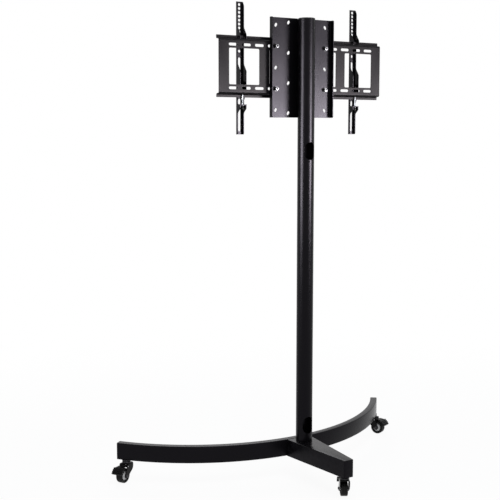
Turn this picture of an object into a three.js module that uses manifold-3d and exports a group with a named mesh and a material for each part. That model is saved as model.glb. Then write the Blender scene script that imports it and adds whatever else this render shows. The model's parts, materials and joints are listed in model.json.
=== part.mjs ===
// Rolling television stand: a round column on a three-caster base carries a wing bracket,
// and a slotted wall plate with two sliding hook arms hangs on it.
// Millimetres, +Z up. The screen side is -Y, the tail of the base points to +Y.
import * as THREE from 'three';
import { mergeVertices } from 'three/addons/utils/BufferGeometryUtils.js';
import Module from 'manifold-3d';

const wasm = await Module();
wasm.setup();

// Fits shared by the whole stand
const SEAM_GAP = 0.3;
const CUT_OVERRUN = 5;
const ROUND_STEPS = 20;
const HOLE_STEPS = 12;
const CORNER_STEPS = 3;
const HEX_SIDES = 6;
const HEX_FLATS_PER_RADIUS = 2 * Math.cos(Math.PI / HEX_SIDES);
const EASED_EDGE_SHARE = 1 / 3;
const SLOT_FLAT_SHARE = 0.001;
const WELD_SHARE = 1e-5;

// Base: a curved box beam with a tapered tail leg behind it
const BEAM_HEIGHT = 59;
const BEAM_WIDTH = 26;
const BEAM_WALL = 2;
const BEAM_EDGE = 1.5;
const BEAM_BEND_RADIUS = 716.5;
const BEAM_HALF_ANGLE = THREE.MathUtils.degToRad(51.84);
const BEAM_STEPS = 36;
const BEAM_AHEAD_OF_COLUMN = 46;
const PLUG_FLANGE = 3;
const PLUG_DEPTH = 16;
const PLUG_WALL = 3;
const PLUG_CLEARANCE = 0.8;
const TAIL_ROOT_HALF_WIDTH = 48.1;
const TAIL_END_HALF_WIDTH = 18.7;
const TAIL_REACH = 260.7;
const TAIL_CORNER_RADIUS = 4;
const TAIL_SHEET = 2.5;
const TAIL_PLATE_LENGTH = 58;
const TAIL_PLATE_THICKNESS = 4;

// Column
const COLUMN_RADIUS = 28.5;
const COLUMN_WALL = 2;
const COLUMN_RISE = 1448.6;
const COLUMN_STEPS = 28;
const CABLE_HOLE_WIDTH = 38.5;
const CABLE_HOLE_HEIGHT = 59.5;
const LOWER_CABLE_HOLE_RISE = 59.5;
const UPPER_CABLE_HOLE_RISE = 1007.3;
const CABLE_HOLE_STEPS = 5;
const CAP_RIM = 4;
const CAP_ROUND = 3;
const CAP_PLUG_DEPTH = 18;
const CAP_PLUG_WALL = 2.5;
const FOOT_DISC_THICKNESS = 10;
const FOOT_BOLT_CIRCLE_RADIUS = 17;
const FOOT_BOLT_COUNT = 4;
const FOOT_BOLT_LENGTH = 12;

// Standard hardware
const BOLT_DIAMETER = 8;
const BOLT_HOLE_DIAMETER = 8.8;
const BOLT_SLOT_PLAY = 1;
const HEX_HEAD_ACROSS_FLATS = 13;
const HEX_HEAD_HEIGHT = 5.3;
const NUT_HEIGHT = 6.5;
const SOCKET_HEAD_DIAMETER = 13;
const SOCKET_HEAD_HEIGHT = 8;
const SOCKET_HEAD_CHAMFER = 1;
const SOCKET_KEY_ACROSS_FLATS = 6;
const SOCKET_KEY_DEPTH = 4;
const WASHER_DIAMETER = 17;
const WASHER_THICKNESS = 1.6;
const THREAD_STICKING_OUT = 3;

// Wing bracket: a shallow steel channel across the column
const WING_WIDTH = 250;
const WING_SHEET = 2.5;
const WING_FLANGE_DEPTH = 20.1;
const WING_BEND_RADIUS = 1.5;
const WING_CORNER_RADIUS = 6;
const WING_ABOVE_COLUMN = 0.9;
const WING_WEB_AHEAD = 33.6;
const WING_SLOT_LENGTH = 13.4;
const WING_SLOT_LEAN_DEGREES = 33;
const OUTER_HOLE_COUNT = 5;
const OUTER_HOLE_MARGIN = 25;
const INNER_HOLE_OFFSET = 50;
const INNER_HOLE_COUNT = 4;
const INNER_HOLE_MARGIN = 15;
const SADDLE_WIDTH = 32;
const SADDLE_HEIGHT = 40;
const SADDLE_WRAP = 6;
const SADDLE_FROM_WING_EDGE = 65;

// Wall plate with its two hooked rails
const PLATE_LENGTH = 660;
const PLATE_HEIGHT = 200;
const PLATE_SHEET = 2;
const PLATE_RAIL_OFFSET = 15.2;
const PLATE_LIP_HEIGHT = 11;
const PLATE_BEND_RADIUS = 4;
const SLOT_ROW_FROM_EDGE = 30;
const SLOT_PITCH = 50;
const SLOTS_FROM_PLATE_END = 30;
const SLOT_LENGTH = 34;
const SLOT_END_STEPS = 4;
const SLOT_HANG_SHARE = 0.75;
const PLATE_HOLE_ROWS = [1, 3];
const WINDOW_FROM_PLATE_END = 39;
const WINDOW_POST = 38;
const WINDOW_MIDDLE_POST = 42;
const WINDOW_FROM_SLOT = 7;
const WINDOW_CORNER_RADIUS = 4;

// Hook arms that carry the screen
const ARM_WIDTH = 25;
const ARM_SHEET = 2;
const ARM_BEND_RADIUS = 1;
const ARM_FACE_AHEAD = 70;
const ARM_ABOVE_PLATE = 111;
const ARM_BELOW_PLATE = 121.2;
const ARM_SHALLOW = 12;
const ARM_DEEP = 28;
const ARM_FROM_PLATE_ENDS = [108.5, 88.5];
const ARM_HOLE_DIAMETER = 9;
const ARM_HOLE_PITCH = 12.5;
const ARM_HOLE_COUNT = 8;
const ARM_TOP_HOLE_FROM_END = 9.6;
const ARM_LONE_HOLE_BELOW_RAIL = 48.6;
const ARM_SLOT_WIDTH = 9;
const ARM_LONG_SLOT_FROM_RAILS = [69, 52.6];
const ARM_SHORT_SLOT_BELOW_RAIL = [3.5, 22.3];
const ARM_FOOT_SLOT_BELOW_RAIL = 34;
const ARM_FOOT_SLOT_FROM_END = 10.4;
const HOOK_SHOULDER_ABOVE_RAIL = [27, 4];
const HOOK_FOOT_BELOW_RAIL_TOP = 20;
const ARM_BELLY_TOP = 8;
const ARM_BELLY_FULL = -15;
const ARM_STEP_BELOW_RAIL = 5;
const TAB_BELOW_RAIL = 22.5;
const TAB_DEPTH = 13.5;
const TAB_SLOPE = 13;
const TAB_THICKNESS = 3;
const ARM_TOP_CHAMFER = 7;
const ARM_FOOT_CHAMFER = 3;
const LOCK_SCREW_RADIUS = 2.5;
const LOCK_SCREW_HEAD_RADIUS = 3;
const LOCK_SCREW_HEAD_LENGTH = 12;
const LOCK_SCREW_POINT = 2;
const LOCK_POINT_SHARE = 0.6;
const LOCK_SCREW_FROM_FACE = 23;
const LOCK_HEAD_GAP = 1.5;

// Casters
const ARC_CASTER_INSET = 30;
const TAIL_CASTER_INSET = 23.4;
const CASTER_TURNS = [59.6, -23.6, 211.6].map(THREE.MathUtils.degToRad);
const WHEEL_RADIUS = 26;
const WHEEL_STEPS = 18;
const WHEEL_WIDTH = 24;
const TYRE_THICKNESS = 6.5;
const TYRE_EDGE = 3;
const WHEEL_TRAIL = 22;
const HUB_FACE_RECESS = 2;
const HUB_RIM = 3.5;
const HUB_BOSS_RADIUS = 7;
const HUB_WEB_HALF_WIDTH = 3;
const AXLE_RADIUS = 3;
const AXLE_HEAD_RADIUS = 5.5;
const AXLE_HEAD_HEIGHT = 3;
const FORK_GAP = 28.4;
const FORK_SHEET = 3;
const FORK_CROWN_HALF_LENGTH = 17;
const FORK_CROWN_THICKNESS = 4;
const FORK_CROWN_DROP = 11;
const FORK_CROWN_ABOVE_TYRE = 10;
const FORK_AXLE_BOSS_RADIUS = 9;
const FORK_AXLE_BOSS_ARC = THREE.MathUtils.degToRad(153);
const FORK_CORNER_RADIUS = 5;
const RACE_RADIUS = 15;
const RACE_HEIGHT = 6;
const STEM_RADIUS = 4.9;
const STEM_ABOVE_BEAM_FOOT = 16;
const STEM_COLLAR_RADIUS = 15;
const STEM_COLLAR_HEIGHT = 3.8;
const STEM_RIVET_RADIUS = 7.5;
const STEM_RIVET_HEIGHT = 3;
const BRAKE_WIDTH = 42;
const BRAKE_NECK_WIDTH = 26;
const BRAKE_GAP_TO_TYRE = 2.6;
const BRAKE_THICKNESS = 3;
const BRAKE_RIB_HEIGHT = 1.8;
const BRAKE_RIB_COUNT = 5;
const BRAKE_START_ANGLE = THREE.MathUtils.degToRad(2);
const BRAKE_FAN_ANGLE = THREE.MathUtils.degToRad(52);
const BRAKE_NECK_ANGLE = THREE.MathUtils.degToRad(104);
const BRAKE_LIFT_DEGREES = 14;
const BRAKE_PIN_RADIUS = 2;
const BRAKE_EYE_RADIUS = 4.2;
const BRAKE_PIN_AHEAD_OF_AXLE = 8;
const BRAKE_PIN_ABOVE_TYRE = 5.2;

// Levels and places that follow from the sizes above
const CROWN_FOOT = 2 * WHEEL_RADIUS + FORK_CROWN_ABOVE_TYRE;
const CROWN_TOP = CROWN_FOOT + FORK_CROWN_THICKNESS;
const CASTER_HEIGHT = CROWN_TOP + FORK_CROWN_DROP;
const BASE_TOP = CASTER_HEIGHT + BEAM_HEIGHT;
const BEAM_CENTRE_Y = -BEAM_AHEAD_OF_COLUMN - BEAM_BEND_RADIUS;
const COLUMN_TOP = BASE_TOP + COLUMN_RISE;
const WING_TOP = COLUMN_TOP + WING_ABOVE_COLUMN;
const BOLT_SLOT_WIDTH = BOLT_DIAMETER + BOLT_SLOT_PLAY;
const SLOT_ROW_SPACING = PLATE_HEIGHT - 2 * SLOT_ROW_FROM_EDGE;
const OUTER_HOLE_PITCH = SLOT_ROW_SPACING / (PLATE_HOLE_ROWS[1] - PLATE_HOLE_ROWS[0]);
const WING_HEIGHT = (OUTER_HOLE_COUNT - 1) * OUTER_HOLE_PITCH + 2 * OUTER_HOLE_MARGIN;
const INNER_HOLE_PITCH = (WING_HEIGHT - 2 * INNER_HOLE_MARGIN) / (INNER_HOLE_COUNT - 1);
const SLOTS_EACH_SIDE = Math.round((PLATE_LENGTH / 2 - SLOTS_FROM_PLATE_END) / SLOT_PITCH);
const WINDOWS_EACH_SIDE = PLATE_LENGTH / 2 - WINDOW_FROM_PLATE_END - WINDOW_MIDDLE_POST / 2;
const WINDOW_WIDTH = (WINDOWS_EACH_SIDE - WINDOW_POST) / 2;
const INNER_WINDOW_CENTRE = (WINDOW_MIDDLE_POST + WINDOW_WIDTH) / 2;
const WINDOW_CENTRES = [INNER_WINDOW_CENTRE, INNER_WINDOW_CENTRE + WINDOW_WIDTH + WINDOW_POST];
const WINDOW_HEIGHT = SLOT_ROW_SPACING - BOLT_SLOT_WIDTH - 2 * WINDOW_FROM_SLOT;
const WING_BACK_Y = -WING_WEB_AHEAD;
const WING_FRONT_Y = WING_BACK_Y - WING_SHEET;
const SLOT_SLACK = BOLT_SLOT_PLAY / 2 - SEAM_GAP;
const PLATE_HANG = SLOT_HANG_SHARE * SLOT_SLACK;
const SLOT_REACH = (SLOT_LENGTH - BOLT_SLOT_WIDTH) / 2 + Math.sqrt(SLOT_SLACK ** 2 - PLATE_HANG ** 2);
// The outer holes stand in half slot pitches, as near the wing's sides as their margin lets them.
// Where that is halfway between slots, the plate hangs shifted until they meet.
const OUTER_HOLE_HALF_PITCHES = Math.round((WING_WIDTH / 2 - OUTER_HOLE_MARGIN) / (SLOT_PITCH / 2));
const OUTER_HOLE_OFFSET = (OUTER_HOLE_HALF_PITCHES * SLOT_PITCH) / 2;
const OUTER_HOLE_FROM_SLOT = OUTER_HOLE_HALF_PITCHES % 2 === 0 ? SLOT_PITCH / 2 : 0;
const PLATE_SIDE_SHIFT = Math.max(OUTER_HOLE_FROM_SLOT - SLOT_REACH, 0);
const TOP_HOLE_LEVEL = WING_TOP - OUTER_HOLE_MARGIN;
const PLATE_BOLT_LEVELS = PLATE_HOLE_ROWS.map((row) => TOP_HOLE_LEVEL - row * OUTER_HOLE_PITCH);
const PLATE_LEVEL = (PLATE_BOLT_LEVELS[0] + PLATE_BOLT_LEVELS[1]) / 2 - PLATE_HANG;
const PLATE_BACK_Y = WING_FRONT_Y - SEAM_GAP;
const PLATE_FRONT_Y = PLATE_BACK_Y - PLATE_SHEET;
const LIP_BACK_Y = PLATE_BACK_Y - PLATE_RAIL_OFFSET;
const LIP_FRONT_Y = LIP_BACK_Y - PLATE_SHEET;
const RAIL_TOP = PLATE_HEIGHT / 2;
const LEDGE_LEVEL = RAIL_TOP - PLATE_LIP_HEIGHT;
const ARM_FACE_Y = -ARM_FACE_AHEAD;
const ARM_TOP = RAIL_TOP + ARM_ABOVE_PLATE;
const ARM_BOTTOM = RAIL_TOP + ARM_BELOW_PLATE;
const ARM_SIDE_OFFSETS = [
  PLATE_LENGTH / 2 - ARM_FROM_PLATE_ENDS[0],
  ARM_FROM_PLATE_ENDS[1] - PLATE_LENGTH / 2,
];
const ARM_TOP_HOLE = ARM_TOP - ARM_TOP_HOLE_FROM_END;
const ARM_LONE_HOLE = RAIL_TOP - ARM_LONE_HOLE_BELOW_RAIL;
const ARM_SLOTS = [
  [RAIL_TOP - ARM_LONG_SLOT_FROM_RAILS[0], ARM_LONG_SLOT_FROM_RAILS[1] - RAIL_TOP],
  [-RAIL_TOP - ARM_SHORT_SLOT_BELOW_RAIL[0], -RAIL_TOP - ARM_SHORT_SLOT_BELOW_RAIL[1]],
  [-RAIL_TOP - ARM_FOOT_SLOT_BELOW_RAIL, ARM_FOOT_SLOT_FROM_END - ARM_BOTTOM],
];
const TAB_TOP = -RAIL_TOP - TAB_BELOW_RAIL;
const SADDLE_LEVELS = [WING_TOP - SADDLE_FROM_WING_EDGE, WING_TOP - WING_HEIGHT + SADDLE_FROM_WING_EDGE];

const STEEL_BLACK = { color: 0x17171a, roughness: 0.42, metalness: 0.5 };
const PLATE_BLACK = { color: 0x3a3a3d, roughness: 0.5, metalness: 0.5 };
const PLASTIC_BLACK = { color: 0x0c0c0d, roughness: 0.55, metalness: 0 };
const RUBBER_BLACK = { color: 0x151515, roughness: 0.8, metalness: 0 };
const HUB_GREY = { color: 0xc9c9c6, roughness: 0.5, metalness: 0 };
const ZINC = { color: 0xb9bcc0, roughness: 0.3, metalness: 1 };
const SCREW_BLACK = { color: 0x202124, roughness: 0.3, metalness: 0.8 };

// Turns a geometry into a solid for cutting and joining
function solid(geometry) {
  const bare = geometry.clone();
  bare.deleteAttribute('normal');
  bare.deleteAttribute('uv');
  const welded = mergeVertices(bare, WELD_SHARE);
  return new wasm.Manifold(new wasm.Mesh({
    numProp: 3,
    vertProperties: Float32Array.from(welded.attributes.position.array),
    triVerts: Uint32Array.from(welded.index.array),
  }));
}

function mesh(name, body, finish) {
  const raw = body.getMesh();
  const geometry = new THREE.BufferGeometry();
  geometry.setAttribute('position', new THREE.BufferAttribute(Float32Array.from(raw.vertProperties), 3));
  geometry.setIndex(new THREE.BufferAttribute(Uint32Array.from(raw.triVerts), 1));
  geometry.computeVertexNormals();
  const node = new THREE.Mesh(geometry, new THREE.MeshStandardMaterial(finish));
  node.name = name;
  return node;
}

function box(width, depth, height, x, y, z) {
  return solid(new THREE.BoxGeometry(width, depth, height).translate(x, y, z));
}

// A round bar along Z from one level to another
function bar(radius, bottom, top, steps = ROUND_STEPS) {
  const geometry = new THREE.CylinderGeometry(radius, radius, top - bottom, steps);
  return solid(geometry.rotateX(Math.PI / 2).translate(0, 0, (bottom + top) / 2));
}

// A hexagonal bar along Z, measured across its flats
function hexBar(acrossFlats, bottom, top) {
  return bar(acrossFlats / HEX_FLATS_PER_RADIUS, bottom, top, HEX_SIDES);
}

// Spins an outline of [radius, height] points about Z
function turned(outline, steps = ROUND_STEPS) {
  const points = outline.map(([radius, height]) => new THREE.Vector2(radius, height));
  const first = points[0];
  const last = points[points.length - 1];
  if (first.x > 0 || last.x > 0) points.push(first.clone());
  if (THREE.ShapeUtils.area(points) < 0) points.reverse();
  return solid(new THREE.LatheGeometry(points, steps).rotateX(Math.PI / 2));
}

// Extrudes an outline along Z; every arc in it gets the given number of steps
function extruded(shape, depth, arcSteps) {
  return new THREE.ExtrudeGeometry(shape, { depth, bevelEnabled: false, curveSegments: arcSteps / 2 });
}

// Extrudes a plan outline (x, y) upwards
function slab(shape, bottom, top, arcSteps = CORNER_STEPS) {
  return solid(extruded(shape, top - bottom, arcSteps).translate(0, 0, bottom));
}

// Extrudes an end-on outline (y, z) along X, centred on the given x
function sideSlab(shape, width, x, arcSteps = CORNER_STEPS) {
  const geometry = extruded(shape, width, arcSteps).rotateY(Math.PI / 2).rotateX(Math.PI / 2);
  return solid(geometry.translate(x - width / 2, 0, 0));
}

// Extrudes a face outline (x, z) through the sheet, from the near y to the far y
function faceCut(shape, nearY, farY, arcSteps = SLOT_END_STEPS) {
  const geometry = extruded(shape, Math.abs(farY - nearY), arcSteps).rotateX(Math.PI / 2);
  return solid(geometry.translate(0, Math.max(nearY, farY), 0));
}

function outlineOf(points) {
  return new THREE.Shape(points.map(([u, v]) => new THREE.Vector2(u, v)));
}

function roundedRectangle(x, z, width, height, radius) {
  const shape = new THREE.Shape();
  const right = x + width / 2 - radius;
  const left = x - width / 2 + radius;
  const top = z + height / 2 - radius;
  const bottom = z - height / 2 + radius;
  shape.absarc(right, bottom, radius, -Math.PI / 2, 0, false);
  shape.absarc(right, top, radius, 0, Math.PI / 2, false);
  shape.absarc(left, top, radius, Math.PI / 2, Math.PI, false);
  shape.absarc(left, bottom, radius, Math.PI, Math.PI * 1.5, false);
  shape.closePath();
  return shape;
}

// A slot with round ends, lying along x when it is wider than high
function obround(x, z, width, height) {
  const across = Math.min(width, height);
  return roundedRectangle(x, z, width, height, (across * (1 - SLOT_FLAT_SHARE)) / 2);
}

// The outline of a bent sheet that follows a path on the sheet's middle plane
function bentSheet(path, thickness, insideRadius) {
  const middleRadius = insideRadius + thickness / 2;
  const spine = [];
  path.forEach((corner, index) => {
    const here = new THREE.Vector2(...corner);
    const before = index > 0 ? new THREE.Vector2(...path[index - 1]) : null;
    const after = index < path.length - 1 ? new THREE.Vector2(...path[index + 1]) : null;
    const arriving = before ? here.clone().sub(before).normalize() : null;
    const leaving = after ? after.clone().sub(here).normalize() : null;
    if (!before || !after) {
      const along = arriving ?? leaving;
      spine.push({ point: here, normal: new THREE.Vector2(-along.y, along.x) });
      return;
    }
    const turn = Math.atan2(arriving.cross(leaving), arriving.dot(leaving));
    const side = Math.sign(turn);
    const setback = middleRadius * Math.tan(Math.abs(turn) / 2);
    const start = here.clone().addScaledVector(arriving, -setback);
    const startNormal = new THREE.Vector2(-arriving.y, arriving.x);
    const centre = start.clone().addScaledVector(startNormal, side * middleRadius);
    for (let step = 0; step <= CORNER_STEPS; step += 1) {
      const normal = startNormal.clone().rotateAround(new THREE.Vector2(), (turn * step) / CORNER_STEPS);
      spine.push({ point: centre.clone().addScaledVector(normal, -side * middleRadius), normal });
    }
  });
  const left = spine.map(({ point, normal }) => point.clone().addScaledVector(normal, thickness / 2));
  const right = spine.map(({ point, normal }) => point.clone().addScaledVector(normal, -thickness / 2));
  return new THREE.Shape([...right, ...left.reverse()]);
}

// The plan of a stretch of the curved beam, between two radii and two angles from +Y
function ringSector(innerRadius, outerRadius, fromAngle, toAngle) {
  const shape = new THREE.Shape();
  const start = Math.PI / 2 - toAngle;
  const end = Math.PI / 2 - fromAngle;
  shape.absarc(0, BEAM_CENTRE_Y, outerRadius, start, end, false);
  shape.absarc(0, BEAM_CENTRE_Y, innerRadius, end, start, true);
  shape.closePath();
  return shape;
}

function casterStations() {
  const angle = BEAM_HALF_ANGLE - ARC_CASTER_INSET / BEAM_BEND_RADIUS;
  const side = BEAM_BEND_RADIUS * Math.sin(angle);
  const front = BEAM_CENTRE_Y + BEAM_BEND_RADIUS * Math.cos(angle);
  return [
    { name: 'left', x: side, y: front, turn: CASTER_TURNS[0] },
    { name: 'right', x: -side, y: front, turn: CASTER_TURNS[1] },
    { name: 'tail', x: 0, y: TAIL_REACH - TAIL_CASTER_INSET, turn: CASTER_TURNS[2] },
  ];
}

function arcBeam() {
  const plugAngle = (PLUG_FLANGE + SEAM_GAP) / BEAM_BEND_RADIUS;
  const half = BEAM_HALF_ANGLE - plugAngle;
  const outer = BEAM_BEND_RADIUS + BEAM_WIDTH / 2;
  const inner = BEAM_BEND_RADIUS - BEAM_WIDTH / 2;
  const skin = new THREE.ExtrudeGeometry(ringSector(inner, outer, -half, half), {
    depth: BEAM_HEIGHT - 2 * BEAM_EDGE,
    bevelEnabled: true,
    bevelSize: BEAM_EDGE,
    bevelOffset: -BEAM_EDGE,
    bevelThickness: BEAM_EDGE,
    bevelSegments: 1,
    curveSegments: BEAM_STEPS / 2,
  }).translate(0, 0, CASTER_HEIGHT + BEAM_EDGE);
  const past = half + CUT_OVERRUN / BEAM_BEND_RADIUS;
  const boreInner = inner + BEAM_WALL;
  const boreOuter = outer - BEAM_WALL;
  const boreFloor = CASTER_HEIGHT + BEAM_WALL;
  const boreRoof = BASE_TOP - BEAM_WALL;
  const bore = ringSector(boreInner, boreOuter, -past, past);
  let body = solid(skin).subtract(slab(bore, boreFloor, boreRoof, BEAM_STEPS));
  for (const { x, y } of casterStations().slice(0, 2)) {
    body = body.subtract(stemDrill().translate([x, y, 0]));
  }
  return mesh('base_arc_beam', body, STEEL_BLACK);
}

// The hole that a caster stem passes through
function stemDrill() {
  return bar(STEM_RADIUS + SEAM_GAP, CASTER_HEIGHT - CUT_OVERRUN, CASTER_HEIGHT + CUT_OVERRUN, HOLE_STEPS);
}

// A plastic plug that closes one end of the curved beam
function endPlug(name, side) {
  const flange = box(PLUG_FLANGE, BEAM_WIDTH, BEAM_HEIGHT, -PLUG_FLANGE / 2, 0, 0);
  const fit = 2 * (BEAM_WALL + PLUG_CLEARANCE);
  const bodyWidth = BEAM_WIDTH - fit;
  const bodyHeight = BEAM_HEIGHT - fit;
  const length = PLUG_DEPTH + PLUG_FLANGE;
  const stalk = box(length, bodyWidth, bodyHeight, -length / 2, 0, 0);
  const pocketWidth = bodyWidth - 2 * PLUG_WALL;
  const pocketHeight = bodyHeight - 2 * PLUG_WALL;
  const pocketStart = -PLUG_FLANGE - CUT_OVERRUN / 2;
  const pocket = box(length, pocketWidth, pocketHeight, pocketStart - length / 2, 0, 0);
  let body = flange.add(stalk).subtract(pocket);
  body = body.translate([0, BEAM_BEND_RADIUS, CASTER_HEIGHT + BEAM_HEIGHT / 2]);
  if (side < 0) body = body.mirror([1, 0, 0]);
  body = body.rotate([0, 0, -side * THREE.MathUtils.radToDeg(BEAM_HALF_ANGLE)]);
  return mesh(name, body.translate([0, BEAM_CENTRE_Y, 0]), STEEL_BLACK);
}

// Half width of the tail leg at a given distance behind the column
function tailHalfWidth(y) {
  const seat = BEAM_BEND_RADIUS + BEAM_WIDTH / 2;
  const rootY = BEAM_CENTRE_Y + Math.sqrt(seat ** 2 - TAIL_ROOT_HALF_WIDTH ** 2);
  const share = (y - rootY) / (TAIL_REACH - rootY);
  return TAIL_ROOT_HALF_WIDTH + (TAIL_END_HALF_WIDTH - TAIL_ROOT_HALF_WIDTH) * share;
}

function tailPlan(inset, startY, endY, radius) {
  const start = tailHalfWidth(startY) - inset;
  const end = tailHalfWidth(endY) - inset;
  const corner = Math.max(radius - inset, radius / 2);
  const shape = new THREE.Shape();
  shape.moveTo(-start, startY);
  shape.lineTo(start, startY);
  shape.lineTo(end + (corner * (start - end)) / (endY - startY), endY - corner);
  shape.absarc(end - corner, endY - corner, corner, 0, Math.PI / 2, false);
  shape.absarc(-end + corner, endY - corner, corner, Math.PI / 2, Math.PI, false);
  shape.closePath();
  return shape;
}

function tailLeg() {
  const startY = BEAM_CENTRE_Y + BEAM_BEND_RADIUS;
  const skin = slab(tailPlan(0, startY, TAIL_REACH, TAIL_CORNER_RADIUS), CASTER_HEIGHT, BASE_TOP);
  const ceiling = BASE_TOP - TAIL_SHEET;
  const endY = TAIL_REACH - TAIL_SHEET;
  const hollowPlan = tailPlan(TAIL_SHEET, startY - CUT_OVERRUN, endY, TAIL_CORNER_RADIUS);
  const hollow = slab(hollowPlan, CASTER_HEIGHT - CUT_OVERRUN, ceiling);
  const seat = BEAM_BEND_RADIUS + BEAM_WIDTH / 2 + SEAM_GAP;
  const spread = (TAIL_ROOT_HALF_WIDTH + TAIL_CORNER_RADIUS * 2) / BEAM_BEND_RADIUS;
  const beamCut = ringSector(BEAM_BEND_RADIUS - BEAM_WIDTH, seat, -spread, spread);
  let body = skin.subtract(hollow);
  body = body.subtract(slab(beamCut, CASTER_HEIGHT - CUT_OVERRUN, BASE_TOP + CUT_OVERRUN, HOLE_STEPS));
  for (const [x, y] of footBoltPlaces()) {
    const drill = bar(BOLT_HOLE_DIAMETER / 2, ceiling - CUT_OVERRUN, BASE_TOP + CUT_OVERRUN, HOLE_STEPS);
    body = body.subtract(drill.translate([x, y, 0]));
  }
  return mesh('tail_leg', body, STEEL_BLACK);
}

// The plate inside the tail's open underside that takes the rear caster stem
function tailCasterPlate() {
  const startY = TAIL_REACH - TAIL_PLATE_LENGTH;
  const endY = TAIL_REACH - TAIL_SHEET - SEAM_GAP;
  const plan = tailPlan(TAIL_SHEET + SEAM_GAP, startY, endY, TAIL_CORNER_RADIUS);
  const station = casterStations()[2];
  const plate = slab(plan, CASTER_HEIGHT, CASTER_HEIGHT + TAIL_PLATE_THICKNESS);
  const drill = stemDrill().translate([station.x, station.y, 0]);
  return mesh('tail_caster_plate', plate.subtract(drill), STEEL_BLACK);
}

function footBoltPlaces() {
  const places = [];
  for (let index = 0; index < FOOT_BOLT_COUNT; index += 1) {
    const angle = ((index + 0.5) * 2 * Math.PI) / FOOT_BOLT_COUNT;
    places.push([FOOT_BOLT_CIRCLE_RADIUS * Math.cos(angle), FOOT_BOLT_CIRCLE_RADIUS * Math.sin(angle)]);
  }
  return places;
}

function columnTube() {
  const bottom = BASE_TOP + SEAM_GAP;
  const top = COLUMN_TOP - CAP_RIM - SEAM_GAP;
  const bore = bar(COLUMN_RADIUS - COLUMN_WALL, bottom - CUT_OVERRUN, top + CUT_OVERRUN, COLUMN_STEPS);
  let body = bar(COLUMN_RADIUS, bottom, top, COLUMN_STEPS).subtract(bore);
  for (const rise of [LOWER_CABLE_HOLE_RISE, UPPER_CABLE_HOLE_RISE]) {
    const hole = obround(0, BASE_TOP + rise, CABLE_HOLE_WIDTH, CABLE_HOLE_HEIGHT);
    body = body.subtract(faceCut(hole, 0, COLUMN_RADIUS + CUT_OVERRUN, CABLE_HOLE_STEPS));
  }
  for (const level of SADDLE_LEVELS) {
    const drill = bar(BOLT_HOLE_DIAMETER / 2, 0, COLUMN_RADIUS + CUT_OVERRUN, HOLE_STEPS);
    body = body.subtract(drill.rotate([90, 0, 0]).translate([0, 0, level]));
  }
  return mesh('column_tube', body, STEEL_BLACK);
}

function columnCap() {
  const plug = COLUMN_RADIUS - COLUMN_WALL - SEAM_GAP;
  const bore = plug - CAP_PLUG_WALL;
  const rimBottom = COLUMN_TOP - CAP_RIM;
  const plugFoot = rimBottom - CAP_PLUG_DEPTH;
  const outline = [[0, COLUMN_TOP]];
  for (let step = 0; step <= CORNER_STEPS; step += 1) {
    const angle = (Math.PI / 2) * (1 - step / CORNER_STEPS);
    const radius = COLUMN_RADIUS - CAP_ROUND + CAP_ROUND * Math.cos(angle);
    outline.push([radius, COLUMN_TOP - CAP_ROUND + CAP_ROUND * Math.sin(angle)]);
  }
  outline.push([COLUMN_RADIUS, rimBottom], [plug, rimBottom], [plug, plugFoot]);
  outline.push([bore, plugFoot], [bore, rimBottom], [0, rimBottom]);
  return mesh('column_cap', turned(outline, COLUMN_STEPS), PLASTIC_BLACK);
}

function columnFootDisc() {
  const bottom = BASE_TOP + SEAM_GAP;
  const top = bottom + FOOT_DISC_THICKNESS;
  let body = bar(COLUMN_RADIUS - COLUMN_WALL - SEAM_GAP, bottom, top);
  for (const [x, y] of footBoltPlaces()) {
    const drill = bar(BOLT_DIAMETER / 2 + SEAM_GAP, bottom - CUT_OVERRUN, top + CUT_OVERRUN, HOLE_STEPS);
    body = body.subtract(drill.translate([x, y, 0]));
  }
  return mesh('column_foot_disc', body, STEEL_BLACK);
}

// A hexagon-head bolt standing on its head, shank upwards from level zero
function hexBolt(length) {
  const head = hexBar(HEX_HEAD_ACROSS_FLATS, -HEX_HEAD_HEIGHT, 0);
  return head.add(bar(BOLT_DIAMETER / 2, -HEX_HEAD_HEIGHT / 2, length, HOLE_STEPS));
}

function footBolts() {
  const level = BASE_TOP - TAIL_SHEET - SEAM_GAP;
  return footBoltPlaces().map(([x, y], index) => {
    return mesh(`column_foot_bolt_${index + 1}`, hexBolt(FOOT_BOLT_LENGTH).translate([x, y, level]), ZINC);
  });
}

function wingSlotPlaces() {
  const places = [];
  for (const side of [1, -1]) {
    for (let row = 0; row < OUTER_HOLE_COUNT; row += 1) {
      places.push([side * OUTER_HOLE_OFFSET, WING_TOP - OUTER_HOLE_MARGIN - row * OUTER_HOLE_PITCH]);
    }
    for (let row = 0; row < INNER_HOLE_COUNT; row += 1) {
      places.push([side * INNER_HOLE_OFFSET, WING_TOP - INNER_HOLE_MARGIN - row * INNER_HOLE_PITCH]);
    }
  }
  return places;
}

function sheetDrill(diameter, x, z, nearY, farY) {
  const length = Math.abs(farY - nearY);
  const drill = bar(diameter / 2, 0, length, HOLE_STEPS);
  return drill.rotate([90, 0, 0]).translate([x, Math.max(nearY, farY), z]);
}

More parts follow.
